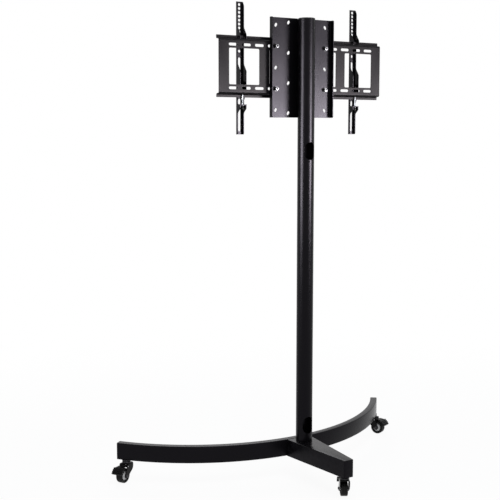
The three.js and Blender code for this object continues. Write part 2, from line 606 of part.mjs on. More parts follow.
// A folded channel; its short slots lean towards the column at the top
function wingBracket() {
  const halfWidth = (WING_WIDTH - WING_SHEET) / 2;
  const middleY = WING_BACK_Y - WING_SHEET / 2;
  const edgeY = WING_FRONT_Y + WING_FLANGE_DEPTH;
  const path = [[-halfWidth, edgeY], [-halfWidth, middleY], [halfWidth, middleY], [halfWidth, edgeY]];
  const bottom = WING_TOP - WING_HEIGHT;
  let body = slab(bentSheet(path, WING_SHEET, WING_BEND_RADIUS), bottom, WING_TOP);
  const corner = WING_CORNER_RADIUS;
  const side = new THREE.Shape();
  side.moveTo(WING_FRONT_Y - CUT_OVERRUN, bottom);
  side.lineTo(edgeY - corner, bottom);
  side.absarc(edgeY - corner, bottom + corner, corner, -Math.PI / 2, 0, false);
  side.absarc(edgeY - corner, WING_TOP - corner, corner, 0, Math.PI / 2, false);
  side.lineTo(WING_FRONT_Y - CUT_OVERRUN, WING_TOP);
  body = body.intersect(sideSlab(side, WING_WIDTH + CUT_OVERRUN, 0));
  const nearY = WING_FRONT_Y - CUT_OVERRUN;
  const farY = WING_BACK_Y + CUT_OVERRUN;
  const upright = faceCut(obround(0, 0, BOLT_SLOT_WIDTH, WING_SLOT_LENGTH), nearY, farY);
  for (const [x, z] of wingSlotPlaces()) {
    const lean = -Math.sign(x) * WING_SLOT_LEAN_DEGREES;
    body = body.subtract(upright.rotate([0, lean, 0]).translate([x, 0, z]));
  }
  for (const level of SADDLE_LEVELS) {
    body = body.subtract(sheetDrill(BOLT_HOLE_DIAMETER, 0, level, nearY, farY));
  }
  return mesh('wing_bracket', body, STEEL_BLACK);
}

// The saddle packs out the gap between the round column and the flat bracket
function saddle(name, level) {
  const frontY = WING_BACK_Y + SEAM_GAP;
  const backY = -COLUMN_RADIUS + SADDLE_WRAP;
  const block = box(SADDLE_WIDTH, backY - frontY, SADDLE_HEIGHT, 0, (backY + frontY) / 2, level);
  const tube = bar(COLUMN_RADIUS + SEAM_GAP, level - SADDLE_HEIGHT, level + SADDLE_HEIGHT, COLUMN_STEPS);
  const drill = sheetDrill(BOLT_HOLE_DIAMETER, 0, level, frontY - CUT_OVERRUN, 0);
  return mesh(name, block.subtract(tube).subtract(drill), STEEL_BLACK);
}

// Bolt and nut that clamp bracket, saddle and column together, head on the screen side
function saddleFixing(name, level) {
  const headY = WING_FRONT_Y - SEAM_GAP;
  const innerRadius = COLUMN_RADIUS - COLUMN_WALL;
  const cornerRadius = HEX_HEAD_ACROSS_FLATS / HEX_FLATS_PER_RADIUS;
  const nutY = -Math.sqrt(innerRadius ** 2 - cornerRadius ** 2) + SEAM_GAP;
  const length = nutY + NUT_HEIGHT + THREAD_STICKING_OUT - headY;
  const bolt = hexBolt(length).rotate([-90, 0, 0]).translate([0, headY, level]);
  const nut = hexBar(HEX_HEAD_ACROSS_FLATS, 0, NUT_HEIGHT).subtract(nutBore()).rotate([-90, 0, 0]);
  return [
    mesh(`bracket_bolt_${name}`, bolt, ZINC),
    mesh(`bracket_nut_${name}`, nut.translate([0, nutY, level]), ZINC),
  ];
}

function nutBore() {
  return bar(BOLT_DIAMETER / 2 + SEAM_GAP, -CUT_OVERRUN, NUT_HEIGHT + CUT_OVERRUN, HOLE_STEPS);
}

// End-on outline of the wall plate: flat face, ledges and the two upright lips
function wallPlateProfile() {
  const halfSheet = PLATE_SHEET / 2;
  const faceY = PLATE_BACK_Y - halfSheet;
  const lipY = LIP_BACK_Y - halfSheet;
  const ledge = LEDGE_LEVEL - halfSheet;
  const upperHalf = [[lipY, RAIL_TOP], [lipY, ledge], [faceY, ledge]];
  const path = [...upperHalf, ...upperHalf.map(([y, z]) => [y, -z]).reverse()];
  return bentSheet(path, PLATE_SHEET, PLATE_BEND_RADIUS);
}

function wallPlate() {
  let body = sideSlab(wallPlateProfile(), PLATE_LENGTH, 0);
  const nearY = PLATE_FRONT_Y - CUT_OVERRUN / 2;
  const farY = PLATE_BACK_Y + CUT_OVERRUN;
  for (let index = -SLOTS_EACH_SIDE; index < SLOTS_EACH_SIDE; index += 1) {
    const x = (index + 1 / 2) * SLOT_PITCH;
    for (const row of [1, -1]) {
      const z = (row * SLOT_ROW_SPACING) / 2;
      body = body.subtract(faceCut(obround(x, z, SLOT_LENGTH, BOLT_SLOT_WIDTH), nearY, farY));
    }
  }
  for (const centre of WINDOW_CENTRES) {
    for (const side of [1, -1]) {
      const window = roundedRectangle(side * centre, 0, WINDOW_WIDTH, WINDOW_HEIGHT, WINDOW_CORNER_RADIUS);
      body = body.subtract(faceCut(window, nearY, farY, CORNER_STEPS));
    }
  }
  return mesh('wall_plate', body.translate([-PLATE_SIDE_SHIFT, 0, PLATE_LEVEL]), PLATE_BLACK);
}

// A socket-head screw, head above level zero and shank hanging down
function socketScrew(length) {
  const radius = SOCKET_HEAD_DIAMETER / 2;
  const head = turned([
    [0, 0],
    [radius, 0],
    [radius, SOCKET_HEAD_HEIGHT - SOCKET_HEAD_CHAMFER],
    [radius - SOCKET_HEAD_CHAMFER, SOCKET_HEAD_HEIGHT],
    [0, SOCKET_HEAD_HEIGHT],
  ], HOLE_STEPS);
  const shank = bar(BOLT_DIAMETER / 2, -length, SOCKET_HEAD_CHAMFER, HOLE_STEPS);
  const keyFloor = SOCKET_HEAD_HEIGHT - SOCKET_KEY_DEPTH;
  const key = hexBar(SOCKET_KEY_ACROSS_FLATS, keyFloor, SOCKET_HEAD_HEIGHT + CUT_OVERRUN);
  return head.add(shank).subtract(key);
}

function washer() {
  const ring = bar(WASHER_DIAMETER / 2, 0, WASHER_THICKNESS);
  const drill = bar(BOLT_DIAMETER / 2 + SEAM_GAP, -CUT_OVERRUN, WASHER_THICKNESS + CUT_OVERRUN, HOLE_STEPS);
  return ring.subtract(drill);
}

// The four screws that clamp the wall plate to the bracket, with washers and nuts
function plateFixings() {
  const washerY = WING_BACK_Y + SEAM_GAP;
  const headY = washerY + WASHER_THICKNESS + SEAM_GAP;
  const nutY = PLATE_FRONT_Y - SEAM_GAP;
  const length = headY - nutY + NUT_HEIGHT + THREAD_STICKING_OUT;
  const corners = ['upper', 'lower'].flatMap((row, index) => [
    { name: `${row}_left`, x: OUTER_HOLE_OFFSET, z: PLATE_BOLT_LEVELS[index] },
    { name: `${row}_right`, x: -OUTER_HOLE_OFFSET, z: PLATE_BOLT_LEVELS[index] },
  ]);
  return corners.flatMap(({ name, x, z }) => {
    const screw = socketScrew(length).rotate([-90, 0, 0]).translate([x, headY, z]);
    const ring = washer().rotate([-90, 0, 0]).translate([x, washerY, z]);
    const nut = hexBar(HEX_HEAD_ACROSS_FLATS, 0, NUT_HEIGHT).subtract(nutBore()).rotate([90, 0, 0]);
    return [
      mesh(`plate_screw_${name}`, screw, SCREW_BLACK),
      mesh(`plate_washer_${name}`, ring, SCREW_BLACK),
      mesh(`plate_nut_${name}`, nut.translate([x, nutY, z]), ZINC),
    ];
  });
}

// Side outline of an arm: hook over the top lip, belly to the bottom ledge, tab for the lock screw
function armSideOutline() {
  const face = ARM_FACE_Y;
  const shallow = face + ARM_SHALLOW;
  const deep = face + ARM_DEEP;
  const lipFront = LIP_FRONT_Y - SEAM_GAP;
  const lipBack = LIP_BACK_Y + SEAM_GAP;
  const lipTop = RAIL_TOP + SEAM_GAP;
  const prongFoot = LEDGE_LEVEL + PLATE_BEND_RADIUS * EASED_EDGE_SHARE;
  const bellyFoot = -LEDGE_LEVEL + PLATE_SHEET + SEAM_GAP;
  const railFoot = -RAIL_TOP - ARM_STEP_BELOW_RAIL;
  const hookFoot = RAIL_TOP - HOOK_FOOT_BELOW_RAIL_TOP;
  const [shoulderTop, shoulderFoot] = HOOK_SHOULDER_ABOVE_RAIL.map((rise) => RAIL_TOP + rise);
  const ledgeClearance = PLATE_BEND_RADIUS / 2;
  return outlineOf([
    [face, -ARM_BOTTOM],
    [shallow - ARM_FOOT_CHAMFER, -ARM_BOTTOM],
    [shallow, -ARM_BOTTOM + 2 * ARM_FOOT_CHAMFER],
    [shallow, TAB_TOP - TAB_DEPTH - TAB_SLOPE],
    [deep, TAB_TOP - TAB_DEPTH],
    [deep, TAB_TOP],
    [shallow, TAB_TOP],
    [shallow, railFoot - ARM_SHEET],
    [lipFront, railFoot],
    [lipFront, bellyFoot],
    [deep - ledgeClearance, bellyFoot],
    [deep, bellyFoot + ledgeClearance],
    [deep, ARM_BELLY_FULL],
    [shallow, ARM_BELLY_TOP],
    [shallow, hookFoot - ARM_SHEET],
    [lipFront, hookFoot],
    [lipFront, lipTop],
    [lipBack, lipTop],
    [lipBack + PLATE_BEND_RADIUS, prongFoot],
    [deep, prongFoot],
    [deep, shoulderFoot],
    [shallow, shoulderTop],
    [shallow, ARM_TOP - 2 * ARM_TOP_CHAMFER],
    [shallow - ARM_TOP_CHAMFER, ARM_TOP],
    [face, ARM_TOP],
  ]);
}

function arm(name, x) {
  const halfWidth = (ARM_WIDTH - ARM_SHEET) / 2;
  const middleY = ARM_FACE_Y + ARM_SHEET / 2;
  const edgeY = ARM_FACE_Y + ARM_DEEP + CUT_OVERRUN;
  const path = [[-halfWidth, edgeY], [-halfWidth, middleY], [halfWidth, middleY], [halfWidth, edgeY]];
  const channel = slab(bentSheet(path, ARM_SHEET, ARM_BEND_RADIUS), -ARM_BOTTOM, ARM_TOP);
  let body = channel.intersect(sideSlab(armSideOutline(), ARM_WIDTH + CUT_OVERRUN, 0));
  const nearY = ARM_FACE_Y - CUT_OVERRUN;
  const farY = ARM_FACE_Y + ARM_SHEET + CUT_OVERRUN;
  const holes = Array.from({ length: ARM_HOLE_COUNT }, (_, index) => ARM_TOP_HOLE - index * ARM_HOLE_PITCH);
  for (const z of [...holes, ARM_LONE_HOLE]) {
    body = body.subtract(sheetDrill(ARM_HOLE_DIAMETER, 0, z, nearY, farY));
  }
  for (const [top, bottom] of ARM_SLOTS) {
    const slot = obround(0, (top + bottom) / 2, ARM_SLOT_WIDTH, top - bottom);
    body = body.subtract(faceCut(slot, nearY, farY));
  }
  return mesh(name, body.translate([x, 0, PLATE_LEVEL]), STEEL_BLACK);
}

// The small threaded plate welded between the arm's side walls
function lockTab(name, x) {
  const width = ARM_WIDTH - 2 * ARM_SHEET - 2 * SEAM_GAP;
  const frontY = ARM_FACE_Y + ARM_SHEET + SEAM_GAP;
  const backY = ARM_FACE_Y + ARM_DEEP;
  const level = PLATE_LEVEL + TAB_TOP - TAB_THICKNESS / 2;
  const plate = box(width, backY - frontY, TAB_THICKNESS, x, (frontY + backY) / 2, level);
  const bore = bar(LOCK_SCREW_RADIUS + SEAM_GAP, level - CUT_OVERRUN, level + CUT_OVERRUN, HOLE_STEPS);
  const drill = bore.translate([x, ARM_FACE_Y + LOCK_SCREW_FROM_FACE, 0]);
  return mesh(name, plate.subtract(drill), STEEL_BLACK);
}

// The screw that presses up under the bottom ledge and keeps the arm from lifting off
function lockScrew(name, x) {
  const tip = PLATE_LEVEL - LEDGE_LEVEL - SEAM_GAP;
  const headTop = PLATE_LEVEL + TAB_TOP - TAB_THICKNESS - LOCK_HEAD_GAP;
  const headFoot = headTop - LOCK_SCREW_HEAD_LENGTH;
  const edge = LOCK_SCREW_HEAD_RADIUS * EASED_EDGE_SHARE;
  const body = turned([
    [0, headFoot],
    [LOCK_SCREW_HEAD_RADIUS - edge, headFoot],
    [LOCK_SCREW_HEAD_RADIUS, headFoot + edge],
    [LOCK_SCREW_HEAD_RADIUS, headTop],
    [LOCK_SCREW_RADIUS, headTop],
    [LOCK_SCREW_RADIUS, tip - LOCK_SCREW_POINT],
    [LOCK_SCREW_RADIUS * LOCK_POINT_SHARE, tip],
    [0, tip],
  ], HOLE_STEPS);
  return mesh(name, body.translate([x, ARM_FACE_Y + LOCK_SCREW_FROM_FACE, 0]), ZINC);
}

// Caster pieces are drawn with the stem on the Z axis and the wheel trailing towards +Y
function placed(body, station) {
  return body.rotate([0, 0, THREE.MathUtils.radToDeg(-station.turn)]).translate([station.x, station.y, 0]);
}

// Sets a piece that was turned about Z on the wheel's axis
function onAxle(body, station) {
  return placed(body.rotate([0, 90, 0]).translate([0, WHEEL_TRAIL, WHEEL_RADIUS]), station);
}

function acrossBar(radius, halfLength, y, z, steps = HOLE_STEPS) {
  return bar(radius, -halfLength, halfLength, steps).rotate([0, 90, 0]).translate([0, y, z]);
}

function casterStem(station) {
  const collarTop = CASTER_HEIGHT - SEAM_GAP;
  const collarFoot = collarTop - STEM_COLLAR_HEIGHT;
  const rivetTop = CROWN_FOOT - SEAM_GAP;
  const rivetFoot = rivetTop - STEM_RIVET_HEIGHT;
  const edge = STEM_RIVET_HEIGHT * EASED_EDGE_SHARE;
  const body = turned([
    [0, rivetFoot],
    [STEM_RIVET_RADIUS - edge, rivetFoot],
    [STEM_RIVET_RADIUS, rivetTop],
    [STEM_RADIUS, rivetTop],
    [STEM_RADIUS, collarFoot],
    [STEM_COLLAR_RADIUS, collarFoot],
    [STEM_COLLAR_RADIUS, collarTop],
    [STEM_RADIUS, collarTop],
    [STEM_RADIUS, CASTER_HEIGHT + STEM_ABOVE_BEAM_FOOT - edge],
    [STEM_RADIUS - edge, CASTER_HEIGHT + STEM_ABOVE_BEAM_FOOT],
    [0, CASTER_HEIGHT + STEM_ABOVE_BEAM_FOOT],
  ], HOLE_STEPS);
  return mesh(`caster_${station.name}_stem`, placed(body, station), ZINC);
}

function fork(station) {
  const outerWidth = FORK_GAP + 2 * FORK_SHEET;
  const crown = CROWN_TOP;
  const leg = new THREE.Shape();
  const boss = FORK_AXLE_BOSS_RADIUS;
  leg.moveTo(FORK_CROWN_HALF_LENGTH, crown - FORK_CORNER_RADIUS);
  leg.lineTo(FORK_CROWN_HALF_LENGTH, crown - 2 * FORK_CORNER_RADIUS);
  leg.lineTo(WHEEL_TRAIL + boss, WHEEL_RADIUS);
  leg.absarc(WHEEL_TRAIL, WHEEL_RADIUS, boss, 0, -FORK_AXLE_BOSS_ARC, true);
  leg.lineTo(-FORK_CROWN_HALF_LENGTH, crown - 3 * FORK_CORNER_RADIUS);
  leg.lineTo(-FORK_CROWN_HALF_LENGTH, crown - FORK_CORNER_RADIUS);
  leg.lineTo(-FORK_CROWN_HALF_LENGTH + FORK_CORNER_RADIUS, crown);
  leg.lineTo(FORK_CROWN_HALF_LENGTH - FORK_CORNER_RADIUS, crown);
  leg.closePath();
  const gapLength = 2 * (WHEEL_TRAIL + boss + CUT_OVERRUN);
  let body = sideSlab(leg, outerWidth, 0, HOLE_STEPS / 2);
  body = body.subtract(box(FORK_GAP, gapLength, 2 * CROWN_FOOT, 0, 0, 0));
  body = body.add(bar(RACE_RADIUS, crown - FORK_CROWN_THICKNESS / 2, crown + RACE_HEIGHT, WHEEL_STEPS));
  body = body.subtract(bar(STEM_RADIUS + SEAM_GAP, 0, CASTER_HEIGHT, HOLE_STEPS));
  body = body.subtract(acrossBar(AXLE_RADIUS + SEAM_GAP, outerWidth, WHEEL_TRAIL, WHEEL_RADIUS));
  const pin = brakePinPlace();
  body = body.subtract(acrossBar(BRAKE_PIN_RADIUS + SEAM_GAP, outerWidth, pin.y, pin.z));
  return mesh(`caster_${station.name}_fork`, placed(body, station), STEEL_BLACK);
}

function brakePinPlace() {
  return { y: WHEEL_TRAIL - BRAKE_PIN_AHEAD_OF_AXLE, z: 2 * WHEEL_RADIUS + BRAKE_PIN_ABOVE_TYRE };
}

function axle(station) {
  const shoulder = FORK_GAP / 2 + FORK_SHEET + SEAM_GAP;
  const end = shoulder + AXLE_HEAD_HEIGHT;
  const edge = AXLE_HEAD_HEIGHT * EASED_EDGE_SHARE;
  const body = turned([
    [0, -end],
    [AXLE_HEAD_RADIUS - edge, -end],
    [AXLE_HEAD_RADIUS, -end + edge],
    [AXLE_HEAD_RADIUS, -shoulder],
    [AXLE_RADIUS, -shoulder],
    [AXLE_RADIUS, shoulder],
    [AXLE_HEAD_RADIUS, shoulder],
    [AXLE_HEAD_RADIUS, end - edge],
    [AXLE_HEAD_RADIUS - edge, end],
    [0, end],
  ], HOLE_STEPS);
  return mesh(`caster_${station.name}_axle`, onAxle(body, station), SCREW_BLACK);
}

function hub(station) {
  const rimOuter = WHEEL_RADIUS - TYRE_THICKNESS - SEAM_GAP;
  const rimInner = rimOuter - HUB_RIM;
  const rimHalf = WHEEL_WIDTH / 2 - HUB_FACE_RECESS;
  const bossHalf = FORK_GAP / 2 - SEAM_GAP;
  const bore = AXLE_RADIUS + SEAM_GAP;
  const body = turned([
    [rimOuter, -rimHalf],
    [rimOuter, rimHalf],
    [rimInner, rimHalf],
    [rimInner, HUB_WEB_HALF_WIDTH],
    [HUB_BOSS_RADIUS, HUB_WEB_HALF_WIDTH],
    [HUB_BOSS_RADIUS, bossHalf],
    [bore, bossHalf],
    [bore, -bossHalf],
    [HUB_BOSS_RADIUS, -bossHalf],
    [HUB_BOSS_RADIUS, -HUB_WEB_HALF_WIDTH],
    [rimInner, -HUB_WEB_HALF_WIDTH],
    [rimInner, -rimHalf],
  ], WHEEL_STEPS);
  return mesh(`caster_${station.name}_hub`, onAxle(body, station), HUB_GREY);
}

function tyre(station) {
  const half = WHEEL_WIDTH / 2;
  const inner = WHEEL_RADIUS - TYRE_THICKNESS;
  const shoulder = WHEEL_RADIUS - TYRE_EDGE * EASED_EDGE_SHARE;
  const body = turned([
    [inner, -half],
    [WHEEL_RADIUS - TYRE_EDGE, -half],
    [shoulder, -half + TYRE_EDGE / 2],
    [WHEEL_RADIUS, -half + 2 * TYRE_EDGE],
    [WHEEL_RADIUS, half - 2 * TYRE_EDGE],
    [shoulder, half - TYRE_EDGE / 2],
    [WHEEL_RADIUS - TYRE_EDGE, half],
    [inner, half],
  ], WHEEL_STEPS);
  return mesh(`caster_${station.name}_tyre`, onAxle(body, station), RUBBER_BLACK);
}

// Side outline of a curved strip about the axle
function brakeBand(innerRadius, outerRadius, fromAngle, toAngle) {
  const shape = new THREE.Shape();
  shape.absarc(WHEEL_TRAIL, WHEEL_RADIUS, outerRadius, fromAngle, toAngle, false);
  shape.absarc(WHEEL_TRAIL, WHEEL_RADIUS, innerRadius, toAngle, fromAngle, true);
  shape.closePath();
  return shape;
}

// A point at an angle and a distance from the axle, seen from the side
function aboutAxle(angle, radius) {
  return [WHEEL_TRAIL + radius * Math.cos(angle), WHEEL_RADIUS + radius * Math.sin(angle)];
}

function brakePedal(station) {
  const inner = WHEEL_RADIUS + BRAKE_GAP_TO_TYRE;
  const outer = inner + BRAKE_THICKNESS;
  const fan = brakeBand(inner, outer, BRAKE_START_ANGLE, BRAKE_FAN_ANGLE);
  const neck = brakeBand(inner, outer, BRAKE_FAN_ANGLE - BRAKE_START_ANGLE, BRAKE_NECK_ANGLE);
  const pin = brakePinPlace();
  let body = sideSlab(fan, BRAKE_WIDTH, 0, BRAKE_RIB_COUNT);
  body = body.add(sideSlab(neck, BRAKE_NECK_WIDTH, 0, BRAKE_RIB_COUNT));
  const ribStep = (BRAKE_FAN_ANGLE - BRAKE_START_ANGLE) / BRAKE_RIB_COUNT;
  for (let index = 0; index < BRAKE_RIB_COUNT; index += 1) {
    const from = BRAKE_START_ANGLE + index * ribStep;
    const root = inner + BRAKE_THICKNESS / 2;
    const crest = outer + BRAKE_RIB_HEIGHT;
    const ridge = [[0, root], [1, crest], [2, crest], [3, root]];
    const rib = ridge.map(([quarters, radius]) => aboutAxle(from + (quarters * ribStep) / 4, radius));
    body = body.add(sideSlab(outlineOf(rib), BRAKE_WIDTH, 0));
  }
  body = body.add(acrossBar(BRAKE_EYE_RADIUS, BRAKE_NECK_WIDTH / 2, pin.y, pin.z));
  body = body.subtract(acrossBar(BRAKE_PIN_RADIUS + SEAM_GAP, BRAKE_NECK_WIDTH, pin.y, pin.z));
  const hung = body.translate([0, -pin.y, -pin.z]).rotate([BRAKE_LIFT_DEGREES, 0, 0]);
  body = hung.translate([0, pin.y, pin.z]);
  return mesh(`caster_${station.name}_brake`, placed(body, station), PLASTIC_BLACK);
}

function brakePin(station) {
  const pin = brakePinPlace();
  const half = FORK_GAP / 2 + FORK_SHEET + SEAM_GAP;
  const body = acrossBar(BRAKE_PIN_RADIUS, half, pin.y, pin.z);
  return mesh(`caster_${station.name}_brake_pin`, placed(body, station), ZINC);
}

function caster(station) {
  const makers = [casterStem, fork, axle, hub, tyre, brakePedal, brakePin];
  return makers.map((make) => make(station));
}

const stand = new THREE.Group();
stand.name = 'tv_stand';
stand.add(arcBeam(), endPlug('arc_end_plug_left', 1), endPlug('arc_end_plug_right', -1));
stand.add(tailLeg(), tailCasterPlate());
for (const station of casterStations()) stand.add(...caster(station));
stand.add(columnTube(), columnCap(), columnFootDisc(), ...footBolts());
stand.add(wingBracket());
['upper', 'lower'].forEach((name, index) => {
  stand.add(saddle(`bracket_saddle_${name}`, SADDLE_LEVELS[index]));
  stand.add(...saddleFixing(name, SADDLE_LEVELS[index]));
});
stand.add(wallPlate(), ...plateFixings());
['left', 'right'].forEach((name, index) => {
  const x = ARM_SIDE_OFFSETS[index];
  stand.add(arm(`tv_arm_${name}`, x), lockTab(`lock_tab_${name}`, x), lockScrew(`lock_screw_${name}`, x));
});

// The frame's origin is the middle of the stand's footprint on the floor
const extent = new THREE.Box3().setFromObject(stand);
const middle = extent.getCenter(new THREE.Vector3());
for (const node of stand.children) node.geometry.translate(-middle.x, -middle.y, -extent.min.z);

export default stand;
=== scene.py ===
import json
import math

import bpy
import numpy as np
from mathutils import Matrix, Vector
from mathutils.geometry import delaunay_2d_cdt


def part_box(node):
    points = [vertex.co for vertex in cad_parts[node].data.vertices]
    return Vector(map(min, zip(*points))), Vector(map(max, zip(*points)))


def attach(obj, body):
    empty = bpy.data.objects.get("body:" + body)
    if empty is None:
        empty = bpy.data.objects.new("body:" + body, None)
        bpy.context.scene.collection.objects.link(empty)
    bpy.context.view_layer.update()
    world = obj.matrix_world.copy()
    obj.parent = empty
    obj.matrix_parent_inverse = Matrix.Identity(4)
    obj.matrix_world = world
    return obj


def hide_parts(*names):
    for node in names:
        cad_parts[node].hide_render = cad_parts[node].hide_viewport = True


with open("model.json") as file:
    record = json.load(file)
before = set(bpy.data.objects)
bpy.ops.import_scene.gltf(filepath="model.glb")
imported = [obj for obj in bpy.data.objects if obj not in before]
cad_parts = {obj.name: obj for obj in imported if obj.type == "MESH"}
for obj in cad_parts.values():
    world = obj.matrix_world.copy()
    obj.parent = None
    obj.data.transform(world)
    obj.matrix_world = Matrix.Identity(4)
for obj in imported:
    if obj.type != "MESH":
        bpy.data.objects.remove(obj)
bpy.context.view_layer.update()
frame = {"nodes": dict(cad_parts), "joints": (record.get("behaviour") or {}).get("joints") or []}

# The photograph's view
# The stand is seen from behind, from its left, from about chest height.
# The camera's place is counted from the column's axis and the base's top.
column_low, column_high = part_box("column_tube")
column_x = (column_low.x + column_high.x) / 2
column_y = (column_low.y + column_high.y) / 2
base_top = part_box("base_arc_beam")[1].z
view_turn = math.radians(31.591)
view_dip = math.radians(6.755)
view_distance = 3.43535
view_step_aside = 0.18901
view_above_base = 1.0766
view_lens = 72.70
view_reach = 60.0
film_width = 36.0

away = Vector((-math.sin(view_turn), -math.cos(view_turn), 0))
aside = Vector((math.cos(view_turn), -math.sin(view_turn), 0))


def placed(name, data):
    """Puts an object that holds the data into the scene."""
    holder = bpy.data.objects.new(name, data)
    bpy.context.collection.objects.link(holder)
    return holder


camera = placed("camera", bpy.data.cameras.new("camera"))
camera.location = Vector((column_x, column_y, 0)) - away * view_distance + aside * view_step_aside
camera.location.z = base_top + view_above_base
looking = away * math.cos(view_dip) - Vector((0, 0, math.sin(view_dip)))
camera.rotation_euler = looking.to_track_quat("-Z", "Y").to_euler()
camera.data.sensor_fit = "HORIZONTAL"
camera.data.sensor_width = film_width
camera.data.lens = view_lens
camera.data.clip_end = view_reach
bpy.context.scene.camera = camera
bpy.context.scene.view_settings.view_transform = "Standard"


# The studio
# White all round as far as the eye and a mirror can tell, but a softer grey as light. Two
# gridded boxes, tilted up, are seen in reflections only and streak the metal. One broad
# box hangs overhead and one stands beyond the screen.
def nodes_of(tree):
    """Empties a node tree and returns helpers that add and join its nodes."""
    tree.nodes.clear()

    def add(kind, **values):
        node = tree.nodes.new(kind)
        for key, value in values.items():
            if hasattr(node, key):
                setattr(node, key, value)
            else:
                node.inputs[key.replace("_", " ")].default_value = value
        return node

    def join(source, target):
        tree.links.new(source, target)

    return add, join


def calculated(add, join, operation, first, second):
    """The result of an operation on two values, each a socket or a plain number."""
    node = add("ShaderNodeMath", operation=operation)
    for socket, value in zip(node.inputs, (first, second)):
        if isinstance(value, float):
            socket.default_value = value
        else:
            join(value, socket)
    return node.outputs[0]


def mapped(add, join, source, low, high, bottom=0.0, top=1.0, curve="LINEAR"):
    """The source's range from low to high carried to the range from bottom to top."""
    node = add("ShaderNodeMapRange", interpolation_type=curve)
    for label, value in (("From Min", low), ("From Max", high), ("To Min", bottom), ("To Max", top)):
        node.inputs[label].default_value = value
    join(source, node.inputs["Value"])
    return node.outputs[0]


def seen_directly(add, join):
    """One where a camera, mirror or glass ray looks, and zero where light is gathered."""
    path = add("ShaderNodeLightPath")
    seen = path.outputs["Is Camera Ray"]
    for kind in ("Is Glossy Ray", "Is Transmission Ray"):
        seen = calculated(add, join, "MAXIMUM", seen, path.outputs[kind])
    return seen


def blended(add, join, share, first, second, output):
    """Mixes two shaders by the share and joins them to the tree's output."""
    mix = add("ShaderNodeMixShader")
    for source, socket in zip((share, first.outputs[0], second.outputs[0]), mix.inputs):
        join(source, socket)
    join(mix.outputs[0], add(output).inputs[0])


studio = bpy.data.worlds.new("studio")
bpy.context.scene.world = studio
studio.use_nodes = True
add, join = nodes_of(studio.node_tree)
gathered = add("ShaderNodeBackground", Color=(0.93, 0.96, 1.0, 1), Strength=0.52)
shown = add("ShaderNodeBackground", Color=(1, 1, 1, 1), Strength=1.0)
blended(add, join, seen_directly(add, join), gathered, shown, "ShaderNodeOutputWorld")


def soft_box(name, place, target, size, power, spread=180, only_mirrored=False, colour=(1, 1, 1)):
    """A lit rectangle of the size in metres, facing the target through a grid of the spread in degrees."""
    lamp = bpy.data.lights.new(name, "AREA")
    lamp.shape = "RECTANGLE"
    lamp.size, lamp.size_y = size
    lamp.energy, lamp.color = power, colour
    lamp.spread = math.radians(spread)
    holder = placed(name, lamp)
    holder.visible_diffuse = not only_mirrored
    holder.location = place
    holder.rotation_euler = (target - place).to_track_quat("-Z", "Y").to_euler()


def around(degrees_from_view, distance, height):
    """A place on a circle about the column, counted in degrees to the right of the camera."""
    turn = math.atan2(-away.y, -away.x) + math.radians(degrees_from_view)
    return Vector((column_x + distance * math.cos(turn), column_y + distance * math.sin(turn), height))


stand_middle = Vector((column_x, column_y, 1.0))
rose_white = (1.0, 0.97, 0.985)
grid = 50
soft_box(
    "left box", around(-60, 2.6, 1.18), around(0, 0, 1.78), (1.5, 1.0), power=24,
    spread=grid, only_mirrored=True,
)
soft_box(
    "right box", around(65, 2.8, 1.08), around(0, 0, 1.75), (1.2, 0.55), power=22.5,
    spread=grid, only_mirrored=True, colour=rose_white,
)
soft_box("overhead", around(20, 1.6, 3.4), stand_middle, (2.2, 2.2), power=46)
soft_box("far side", around(190, 2.8, 2.2), stand_middle, (1.6, 1.6), power=24)

floor_reach = 14.0
shadow_reach = (0.8, 2.6)
least_whiteness = 0.93
square = ((-1, -1), (1, -1), (1, 1), (-1, 1))
ground = bpy.data.meshes.new("floor")
ground.from_pydata([(x * floor_reach, y * floor_reach, 0) for x, y in square], [], [(0, 1, 2, 3)])
floor = placed("floor", ground)
pale = bpy.data.materials.new("pale floor")
pale.use_nodes = True
add, join = nodes_of(pale.node_tree)
paper = add("ShaderNodeBsdfDiffuse", Color=(0.9, 0.9, 0.9, 1))
lit = add("ShaderNodeEmission", Color=(1, 1, 1, 1), Strength=1.0)
distance = add("ShaderNodeVectorMath", operation="LENGTH")
join(add("ShaderNodeTexCoord").outputs["Object"], distance.inputs[0])
glow = mapped(add, join, distance.outputs["Value"], *shadow_reach, least_whiteness, 1.0, "SMOOTHSTEP")
whiteness = calculated(add, join, "MULTIPLY", seen_directly(add, join), glow)
blended(add, join, whiteness, paper, lit, "ShaderNodeOutputMaterial")
floor.data.materials.append(pale)


# Black powder coat
# Baked polyester powder on steel: satin, with an orange-peel skin of cells about a
# millimetre across, faint clouding, and thin spots along the edges of the metal.
def value_group(name, inputs, outputs):
    """An empty shader group that is given a place and plain values, and puts out plain values."""
    group = bpy.data.node_groups.new(name, "ShaderNodeTree")
    group.interface.new_socket("Vector", in_out="INPUT", socket_type="NodeSocketVector")
    for label, start in inputs.items():
        made = group.interface.new_socket(label, in_out="INPUT", socket_type="NodeSocketFloat")
        made.default_value = start
    for label in outputs:
        group.interface.new_socket(label, in_out="OUTPUT", socket_type="NodeSocketFloat")
    add, join = nodes_of(group)
    return group, add, join, add("NodeGroupInput"), add("NodeGroupOutput")


def noise_of(add, join, place, cell, detail, roughness):
    """Noise with features as large as the cell, in metres: its scale is 1 / cell."""
    noise = add("ShaderNodeTexNoise", Detail=detail, Roughness=roughness)
    join(place, noise.inputs["Vector"])
    join(calculated(add, join, "DIVIDE", 1.0, cell), noise.inputs["Scale"])
    return noise.outputs[0]


